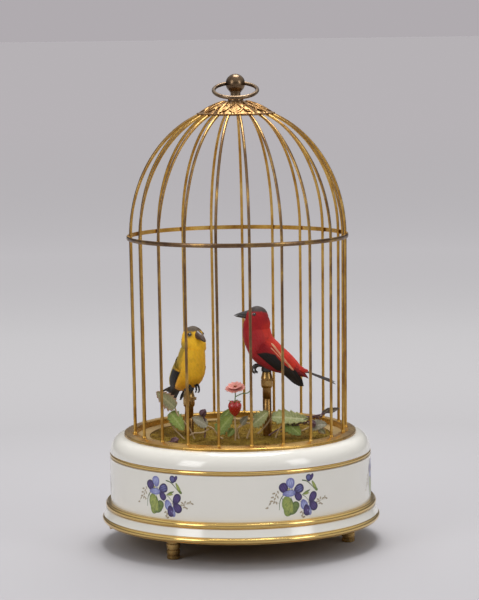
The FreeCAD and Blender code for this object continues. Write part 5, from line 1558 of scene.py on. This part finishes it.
def add_leaf(coat, base, tip, width, pitch=35.0, lobes=6, fold=0.7, curl=1.2, teeth=0.34, rows=42,
             columns=10):
    """A serrated leaf between its base and its tip, folded at the midrib and curled at the end.

    The corner colours carry the edge's share in red and the veins' share in green.
    """
    run = tip - base
    facing = Vector((0, -cos(radians(pitch)), sin(radians(pitch))))
    across = run.cross(facing).normalized()
    normal = across.cross(run).normalized()
    wave = random.uniform(0, 6.28)
    points, colours = [], []
    for row in range(rows + 1):
        share = row / rows
        body = sin(pi * min(1, share ** 0.62)) ** 0.62 if 0 < share < 1 else 0.0
        saw = 1 - teeth * ((share * lobes) % 1.0) ** 0.8
        half = 0.5 * width * (0.04 + 1.12 * body * saw)
        line, tints = [], []
        for column in range(columns + 1):
            x = 2 * column / columns - 1
            ripple = 0.22 * sin(5.2 * x + 6 * share + wave) * abs(x)
            side_vein = abs(((share - 0.32 * abs(x)) * 6.5) % 1.0 - 0.5)
            lift = fold * (abs(x) - 0.4) - curl * share ** 2 + ripple
            lift += 0.16 * (0.5 - side_vein)
            line.append(base + run * share + across * (half * x) + normal * lift)
            vein = max(1.0 if abs(x) < 0.11 else 0.0, 0.8 * step_between(0.36, 0.48, side_vein))
            edge = abs(x) ** 5 * 0.9 + 0.25 * share ** 6
            tints.append((edge, vein * (1 - 0.5 * abs(x)), 0.0))
        points.append(line)
        colours.append(tints)
    coat.grid(points, colours)


# Kind, base x and z, tip x and z, width, depth at the base and lean; heights above the floor
LEAVES = [
    ("olive", -38.2, 18.4, -48.6, 28.6, 9.6, -14.0, 3.0),
    ("green", -41.0, 15.7, -33.2, 5.6, 8.6, -14.0, 3.0),
    ("grey", -19.4, 7.6, -27.6, 13.0, 7.0, -14.0, 3.0),
    ("green", -13.6, 2.9, -4.2, 15.0, 9.0, -14.0, 3.0),
    ("green", -11.0, 10.0, -6.2, 17.2, 4.6, -13.0, 1.0),
    ("grey", 0.8, 8.1, 4.0, 13.0, 4.6, -14.0, 3.0),
    ("pale", 7.5, 7.6, 16.4, 16.0, 9.2, -14.0, 3.0),
    ("pale", 18.8, 12.2, 40.4, 11.4, 9.6, -14.0, 3.0),
    ("green", 26.2, 9.2, 36.0, 1.9, 9.2, -14.0, 3.0),
    ("grey", 41.6, 6.4, 51.0, 8.2, 7.6, -14.0, 3.0),
    ("dark", 52.0, 14.6, 58.4, 17.6, 3.0, -15.4, 1.5),
    ("dark", 34.0, 10.2, 42.0, 12.8, 2.6, -15.0, 1.0),
    ("dark", 49.0, 13.6, 52.6, 17.4, 2.4, -15.0, 1.0),
    ("olive", 46.5, 5.0, 50.5, 2.4, 4.4, -15.0, 1.0),
    ("green", -3.6, 5.4, -7.4, 1.4, 4.2, -15.5, 0.8),
]
LEAF_CLOTHS = {
    "green": LEAF_GREEN,
    "grey": LEAF_GREY,
    "olive": LEAF_OLIVE,
    "pale": LEAF_PALE,
    "dark": LEAF_DARK,
}

# Points of the paper-wound stems: x, y and height above the moss
STEMS = [
    [(-27, -13, 0), (-29.6, -13.6, 6.0), (-33.6, -14.0, 11.0), (-36.8, -14.0, 15.0), (-38.2, -14.0, 18.8)],
    [(-33.0, -13.0, 0), (-38.5, -14.0, 6), (-41.6, -14.2, 11.5), (-41.0, -14.0, 16.1)],
    [(-12.0, -14.0, 0), (-14.2, -14.4, 4.2), (-16.4, -14.2, 6.6), (-19.4, -14.0, 8.0)],
    [(-31.0, -12.5, 1.5), (-27.0, -13.4, 3.6), (-22.0, -14.0, 4.0), (-18.4, -13.8, 6.0)],
    [(-10.0, -14.0, 0), (-12.4, -14.2, 1.4), (-13.6, -14.0, 3.3)],
    [(-0.8, -14.0, 0), (-1.6, -14.2, 5.0), (0.2, -14.0, 8.4)],
    [(4.0, -13.5, 0), (5.6, -14.0, 4.4), (7.5, -14.0, 7.8)],
    [(10.5, -13.8, 2.8), (15.0, -14.4, 7.4), (18.8, -14.0, 12.4)],
    [(20.8, -14.0, 0), (23.0, -14.4, 5.0), (26.2, -14.0, 9.5)],
    [(33.0, -14.0, 3.0), (37.4, -14.2, 4.6), (41.6, -14.0, 6.6)],
    [(-2.9, -21.5, 0), (-2.6, -21.8, 6.0), (-3.1, -22.0, 14.6)],
    [(-1.0, -15.0, 6.5), (3.0, -14.6, 9.0), (6.4, -14.2, 9.4), (8.4, -14.0, 12.0)],
]
DARK_STEMS = [
    [(24.0, -13.4, 3.0), (31.0, -14.4, 8.8), (38.0, -15.0, 11.6), (46.0, -15.2, 13.0), (52.4, -15.4, 14.8)],
    [(17.0, -13.5, 1.0), (24.0, -14.2, 5.4), (32.0, -14.6, 8.2), (40.0, -14.8, 8.6)],
]
GREEN_STEMS = [
    [(-3.0, -21.6, 22.0), (-2.6, -18.6, 24.6), (-2.4, -14.4, 29.0)],
    [(-2.4, -17.2, 25.0), (1.2, -16.6, 26.6), (4.6, -16.0, 26.9), (6.6, -16.0, 28.6)],
]

# x, y, height above the floor and lean of each bud, and the stems of the first two
BUDS = [(-22.9, -14.0, 13.6, 35), (-40.0, -40.0, 2.6, 70), (44.4, -16.0, 7.0, -60)]
TALL_BUD_STEM = [(-21.0, -13.4, 0), (-20.4, -13.6, 8), (-21.6, -13.8, 13), (-22.9, -14.0, 14.0)]
LOW_BUD_STEM = [(-43.0, -38.0, 0.2), (-42.2, -39.4, 1.8), (-40.0, -40.0, 2.8)]

# How far out and how far along its bud a sepal reaches
SEPAL = [(0.6, 0), (1.8, 1.2), (1.9, 2.8), (1.3, 3.9)]
UP = Vector((0, 0, 1))


def above_floor(x, y, height):
    """A point at a height above the floor card."""
    return Vector((x, y, FLOOR_TOP + height))


def outwards(angle):
    """A level unit vector at an angle from the X axis."""
    return Vector((cos(angle), sin(angle), 0))


def stem_path(line, steps, sunk=0.0):
    """A smooth path through points above the floor, sunk into the moss where that is given."""
    return smooth_path([above_floor(*point) - UP * sunk for point in line], steps)


def make_leaves():
    """One piece for each cloth; the first stands for the model's leaves."""
    for kind, cloth in LEAF_CLOTHS.items():
        coat = Coat()
        for leaf_kind, base_x, base_z, tip_x, tip_z, width, depth, lean in LEAVES:
            if leaf_kind == kind:
                base = above_floor(base_x, depth, base_z)
                add_leaf(coat, base, above_floor(tip_x, depth - lean, tip_z), width)
        names = ("leaves",) if cloth is LEAF_GREEN else ()
        stands_for(coat.finish("leaves_" + kind, cloth, thickness=0.28), "case", *names, slot="leaf_green")


def make_stems():
    """Paper-wound stems, dark sprigs with small side shoots, and the berry's green stem."""
    bm = bmesh.new()
    for line in STEMS:
        path = stem_path(line, 7, 0.6)
        add_tube(bm, path, [0.46 + 0.06 * sin(2.3 * number) for number in range(len(path))], 8)
    stands_for(finish_mesh("paper_stems", bm, STEM_PAPER), "case", "vine_stems", slot="leaf_green")
    bm = bmesh.new()
    for line in DARK_STEMS:
        path = stem_path(line, 7)
        add_tube(bm, path, [0.42 + 0.07 * sin(1.9 * number) for number in range(len(path))], 8)
    for number in range(26):
        share = number / 25
        z = 5.8 + 6.2 * share + random.uniform(-1.4, 1.4)
        spot = above_floor(26 + 22 * share, -14.6 + random.uniform(-0.8, 0.8), z)
        end = spot + Vector((random.uniform(0.6, 2.6), random.uniform(-0.8, 0.4), random.uniform(-1.2, 1.2)))
        add_tube(bm, [spot, (spot + end) / 2 + UP * 0.2, end], [0.3, 0.5, 0.12], 6)
    stands_for(finish_mesh("dark_sprigs", bm, BUD_PURPLE), "case", slot="leaf_green")
    bm = bmesh.new()
    for line in GREEN_STEMS:
        add_tube(bm, stem_path(line, 6), 0.34, 8)
    stands_for(finish_mesh("berry_stem", bm, STEM_GREEN), "case", slot="leaf_green")


def make_buds():
    """Purple-brown buds with their pointed sepals."""
    bm = bmesh.new()
    for x, y, z, lean in BUDS:
        foot = above_floor(x, y, z)
        aim = Vector((sin(radians(lean)), -0.25, cos(radians(lean)))).normalized()
        body = [foot + aim * run for run in (0, 0.5, 1.4, 2.6, 3.6, 4.4, 4.8)]
        add_tube(bm, body, [0.5, 1.3, 1.75, 1.7, 1.2, 0.6, 0.15], 12)
        side = aim.orthogonal().normalized()
        for number in range(5):
            out = Matrix.Rotation(TURN * number / 5, 3, aim) @ side
            sepal = [foot + out * reach + aim * run for reach, run in SEPAL]
            add_tube(bm, sepal, [0.3, 0.5, 0.4, 0.1], 6)
    add_tube(bm, stem_path(TALL_BUD_STEM, 6), 0.42, 8)
    add_tube(bm, stem_path(LOW_BUD_STEM, 5), 0.45, 8)
    stands_for(finish_mesh("purple_buds", bm, BUD_PURPLE), "case", slot="leaf_green")


BERRY_HEIGHT = 8.6
SEED_TIER = 1.15
SEED_COUNT = 11


def berry_radius(height, angle):
    """The heart-like outline of the berry, from its tip up to the calyx."""
    share = height / BERRY_HEIGHT
    waist = 1 - 0.55 * max(0, share - 0.72) ** 1.2 * 3.2
    return 4.3 * (1 - (1 - share) ** 1.9) ** 0.62 * waist * (1 + 0.03 * sin(2 * angle))


def make_berry():
    """A strawberry that hangs with its point down, dimpled round every seed."""
    foot = above_floor(-2.9, -22.0, 14.0)

    def on_berry(radius, angle, height):
        return foot + Vector((radius * cos(angle), 0.9 * radius * sin(angle), height))

    bm = bmesh.new()
    sides, runs = 48, 32
    rings = []
    for row in range(runs + 1):
        height = BERRY_HEIGHT * row / runs
        tier = height / SEED_TIER
        ring = []
        for step in range(sides):
            angle = TURN * step / sides
            dent = max(0.0, cos(TURN * (tier % 1.0 - 0.5)))
            dent *= max(0.0, cos(SEED_COUNT * angle + pi * (int(tier) % 2)))
            radius = berry_radius(max(height, 0.02), angle) - 0.22 * dent * min(1, height)
            lobe = 0.8 * abs(cos(angle)) * max(0.0, height - 6.2) / 2.4
            ring.append(bm.verts.new(on_berry(radius, angle, height + lobe) * MM))
        rings.append(ring)
    skin(bm, rings)
    bm.faces.new(rings[-1])
    bm.faces.new(rings[0])
    seeds = bmesh.new()
    for tier in range(1, 7):
        height = SEED_TIER * (tier + 0.5)
        for number in range(SEED_COUNT):
            angle = (TURN * number - pi * (tier % 2)) / SEED_COUNT
            middle = on_berry(berry_radius(height, angle) - 0.14, angle, height)
            before = len(seeds.verts)
            bmesh.ops.create_icosphere(seeds, subdivisions=1, radius=0.2 * MM)
            move_new(seeds, before, Matrix.Translation(middle * MM) @ Matrix.Diagonal((1, 1, 1.7, 1)))
    stands_for(finish_mesh("berry", bm, BERRY_RED), "case", "strawberry", slot="berry_red")
    stands_for(finish_mesh("berry_seeds", seeds, SEED), "case", slot="berry_red")
    coat = Coat()
    top = foot + UP * 8.3
    for number in range(7):
        tip = top + outwards(TURN * number / 7 + 0.2) * 3.7 + UP * (0.15 + 0.5 * (number % 2))
        add_leaf(coat, top, tip, 1.6, pitch=90, lobes=1, fold=0.2, curl=-0.3, teeth=0.0, rows=8, columns=4)
    stands_for(coat.finish("berry_calyx", LEAF_GREEN, thickness=0.2), "case", slot="leaf_green")


def add_petal(coat, middle, tilt, angle, reach, width, rise, tier, wave):
    """A notched petal of the blossom, from its middle outwards."""
    rows, colours = [], []
    for row in range(9):
        share = row / 8
        half = 0.5 * width * sin(pi * min(1, 0.12 + 0.8 * share ** 0.8)) ** 0.6
        line, tints = [], []
        for column in range(7):
            x = column / 3 - 1
            notch = 0.12 * exp(-(x / 0.3) ** 2) * share
            lift = rise * share ** 1.4 + 0.5 * x * x * share + 0.12 * sin(7 * x + 5 * share + wave)
            point = outwards(angle) * (reach * (share - notch)) + outwards(angle + pi / 2) * (half * x)
            line.append(middle + tilt @ (point + UP * (lift + 1.1 + 0.7 * tier)))
            tints.append((share ** 3 * 0.8, 0.35 * (column % 2) * share, 0))
        rows.append(line)
        colours.append(tints)
    coat.grid(rows, colours)


def make_blossom():
    """A flat blossom: two tiers of notched petals round a small boss with its stamens."""
    coat = Coat()
    middle = above_floor(-2.4, -14.0, 28.8)
    tilt = Matrix.Rotation(radians(-7), 3, "Y") @ Matrix.Rotation(radians(20), 3, "X")
    for tier, (count, reach, rise, width) in enumerate(((6, 5.9, -0.2, 7.4), (5, 4.4, 0.8, 5.6))):
        for number in range(count):
            angle = TURN * (number + 0.5 * tier) / count + 0.3
            add_petal(coat, middle, tilt, angle, reach, width, rise, tier, number)
    petals = coat.finish("blossom_petals", PETAL_PINK, thickness=0.22)
    stands_for(petals, "case", "blossom", slot="petal_pink")
    bm = bmesh.new()
    for number in range(14):
        foot = outwards(2.4 * number) * (0.25 * sqrt(number))
        stamen = [middle + tilt @ (foot + UP * height) for height in (1.0, 2.4, 2.8)]
        add_tube(bm, stamen, [0.12, 0.14, 0.26], 6)
    add_tube(bm, [middle - UP * 0.6, middle, middle + UP * 0.8], [0.4, 1.3, 0.8], 12)
    stands_for(finish_mesh("blossom_stamens", bm, SEED), "case", slot="petal_pink")


MOSS_DARK = (0.14, 0.07, 0.010)
MOSS_PALE = (0.40, 0.27, 0.035)
MOSS_TIP = (0.46, 0.36, 0.08)
FIBRE_COUNT = 5200
MOSS_SWELLS = ((0.55, 0.11), (0.35, 0.4), (0.2, 1.1))


def make_moss_ground():
    """The mat's uneven ground."""
    bm = bmesh.new()
    sides, runs = 150, 45
    rings = []
    for row in range(runs + 1):
        radius = (MOSS_RADIUS - 0.1) * row / runs
        ring = []
        for step in range(sides):
            spot = outwards(TURN * step / sides) * radius
            rise = sum(share * noise.noise(spot * scale) for share, scale in MOSS_SWELLS)
            height = MOSS_TOP - 0.15 + 0.75 * rise * min(1, (MOSS_RADIUS - radius) / 3)
            ring.append(bm.verts.new((spot.x * MM, spot.y * MM, height * MM)))
        rings.append(ring)
    skin(bm, rings[1:])
    bmesh.ops.delete(bm, geom=rings[0], context="VERTS")
    bm.faces.new(rings[1])
    stands_for(finish_mesh("moss_ground", bm, MOSS), "case", "moss_mat", slot="moss")


def make_moss_fibres():
    """Short fibres in clumps and paler patches."""
    coat = Coat()
    for _ in range(FIBRE_COUNT):
        radius = (MOSS_RADIUS - 0.9) * sqrt(random.random())
        foot = outwards(random.uniform(0, TURN)) * radius + UP * (MOSS_TOP - 0.5)
        clump = 0.5 + 0.5 * noise.noise(foot * 0.09)
        reach = random.uniform(0.5, 1.1) + 1.3 * max(0.0, clump - 0.35)
        patch = step_between(0.25, 0.75, 0.5 + 0.8 * noise.noise(foot * 0.05 + Vector((7, 3, 0))))
        lean = Vector((random.uniform(-0.6, 0.6), random.uniform(-0.6, 0.6), 0)) * reach
        side = Vector((random.uniform(-1, 1), random.uniform(-1, 1), 0)).normalized() * 0.14
        tone = mix_colour(MOSS_DARK, MOSS_PALE, 0.35 * random.random() + 0.65 * patch)
        tip_tone = mix_colour(tone, MOSS_TIP, 0.5)
        middle = foot + lean * 0.4 + UP * (0.7 * reach)
        tip = foot + lean + UP * reach
        rows = [(spot - side * width, spot + side * width)
                for spot, width in ((foot, 1), (middle, 0.7), (tip, 0.1))]
        coat.grid(rows, [(tone, tone), (tone, tone), (tip_tone, tip_tone)])
    stands_for(coat.finish("moss_fibres", MOSS_FIBRE), "case", slot="moss")


STEM_GREEN = speckled("stem_green", [(0.12, 0.18, 0.08), (0.26, 0.34, 0.16)], (0.5, 0.7), scale=200, bump=0.3)
MOSS_FIBRE = fibrous("moss_tufts")

make_leaves()
make_stems()
make_buds()
make_berry()
make_blossom()
make_moss_ground()
make_moss_fibres()


# Camera, light and stage

BACKDROP = (0.434, 0.408, 0.429)
FLOOR_FAR = 6.0
# Floor tones at distances in metres: painted light, darker near the cage and paler far away
FLOOR_FALLOFF_TONES = [(0.05, (0.44, 0.43, 0.445)), (0.15, (0.43, 0.42, 0.435)), (0.45, (0.42, 0.41, 0.42)),
               (1.0, (0.57, 0.56, 0.57)), (1.9, (0.735, 0.715, 0.735)), (6.0, (0.76, 0.725, 0.75))]
ROOM_TONES = [(0.0, (0.16, 0.16, 0.165)), (0.22, (0.24, 0.235, 0.24)), (0.5, (0.80, 0.795, 0.80)),
              (1.0, (1.12, 1.11, 1.12))]
ROOM_STRENGTH = 0.73

# Name, place, target, width, height and power of each lamp, in metres and watts
LAMPS = [
    ("overhead", (0.05, 0.28, 1.2), (0, 0, 0.1), 0.55, 0.55, 11.5),
    ("left_box", (-1.1, -1.1, 0.8), (0, 0, 0.12), 0.6, 0.9, 6.8),
    ("right_box", (1.2, -0.9, 0.7), (0, 0, 0.12), 0.5, 0.8, 4.2),
]


def make_stage():
    """A wide paper floor painted darker near the cage and paler far away: painted light that makes up for the
    lamps' falloff, so that the far floor meets the backdrop's tone.
    """
    surface = Surface("studio_floor")
    place = surface.node("TexCoord", "Object")
    distance = surface.node("VectorMath", "Value", {0: place}, operation="LENGTH")
    tones = [(reach / FLOOR_FAR, tone) for reach, tone in FLOOR_FALLOFF_TONES]
    surface.set({
        "Base Color": surface.ramp(surface.share(distance, 0.0, FLOOR_FAR), tones),
        "Roughness": 0.85,
        SPECULAR: 0.1,
    })
    bm = bmesh.new()
    bm.faces.new([bm.verts.new((x, y, 0)) for x, y in ((-60, -60), (60, -60), (60, 60), (-60, 60))])
    floor = finish_mesh("studio_floor", bm, surface.material)
    floor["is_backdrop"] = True

    world = bpy.data.worlds.new("studio")
    bpy.context.scene.world = world
    world.use_nodes = True
    tree = world.node_tree
    tree.nodes.clear()
    height = add_node(tree, "SeparateXYZ", "Z", {0: add_node(tree, "TexCoord", "Generated")})
    room = ramp_node(tree, height, ROOM_TONES)
    lit = add_node(tree, "Background", "Background", {"Color": room, "Strength": ROOM_STRENGTH})
    seen = add_node(tree, "Background", "Background", {"Color": BACKDROP})
    straight = add_node(tree, "LightPath", "Is Camera Ray")
    mix = add_node(tree, "MixShader", "Shader", {"Fac": straight, 1: lit, 2: seen})
    out = tree.nodes.new("ShaderNodeOutputWorld")
    tree.links.new(mix, out.inputs["Surface"])


def make_light(name, place, target, width, height, power):
    """A rectangular lamp that faces its target."""
    data = bpy.data.lights.new(name, "AREA")
    data.shape = "RECTANGLE"
    data.size = width
    data.size_y = height
    data.energy = power
    light = bpy.data.objects.new(name, data)
    bpy.context.scene.collection.objects.link(light)
    light.location = place
    light.rotation_mode = "QUATERNION"
    light.rotation_quaternion = (Vector(target) - Vector(place)).to_track_quat("-Z", "Y")


CAMERA_PLACE = (0, -1.4463, 0.3059)
CAMERA_LENS = 147
CAMERA_DOWN = 6.36
CAMERA_ROLL = -0.78
PICTURE_HEIGHT = 600
PICTURE_SHIFT = 1.2


def make_camera():
    """The camera a little above the cage, turned down to its middle."""
    data = bpy.data.cameras.new("camera")
    data.sensor_width = 36
    data.sensor_fit = "AUTO"
    data.lens = CAMERA_LENS
    data.shift_x = PICTURE_SHIFT / PICTURE_HEIGHT
    data.clip_start = 0.05
    camera = bpy.data.objects.new("camera", data)
    bpy.context.scene.collection.objects.link(camera)
    camera.location = CAMERA_PLACE
    level = Matrix.Rotation(radians(90 - CAMERA_DOWN), 4, "X")
    roll = Matrix.Rotation(radians(CAMERA_ROLL), 4, "Z")
    camera.rotation_mode = "QUATERNION"
    camera.rotation_quaternion = (level @ roll).to_quaternion()
    bpy.context.scene.camera = camera


make_stage()
for lamp in LAMPS:
    make_light(*lamp)
make_camera()
bpy.context.scene.view_settings.view_transform = "Standard"

low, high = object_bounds()
{"cad": [list(cad_low), list(cad_high)], "visual": [list(low), list(high)]}
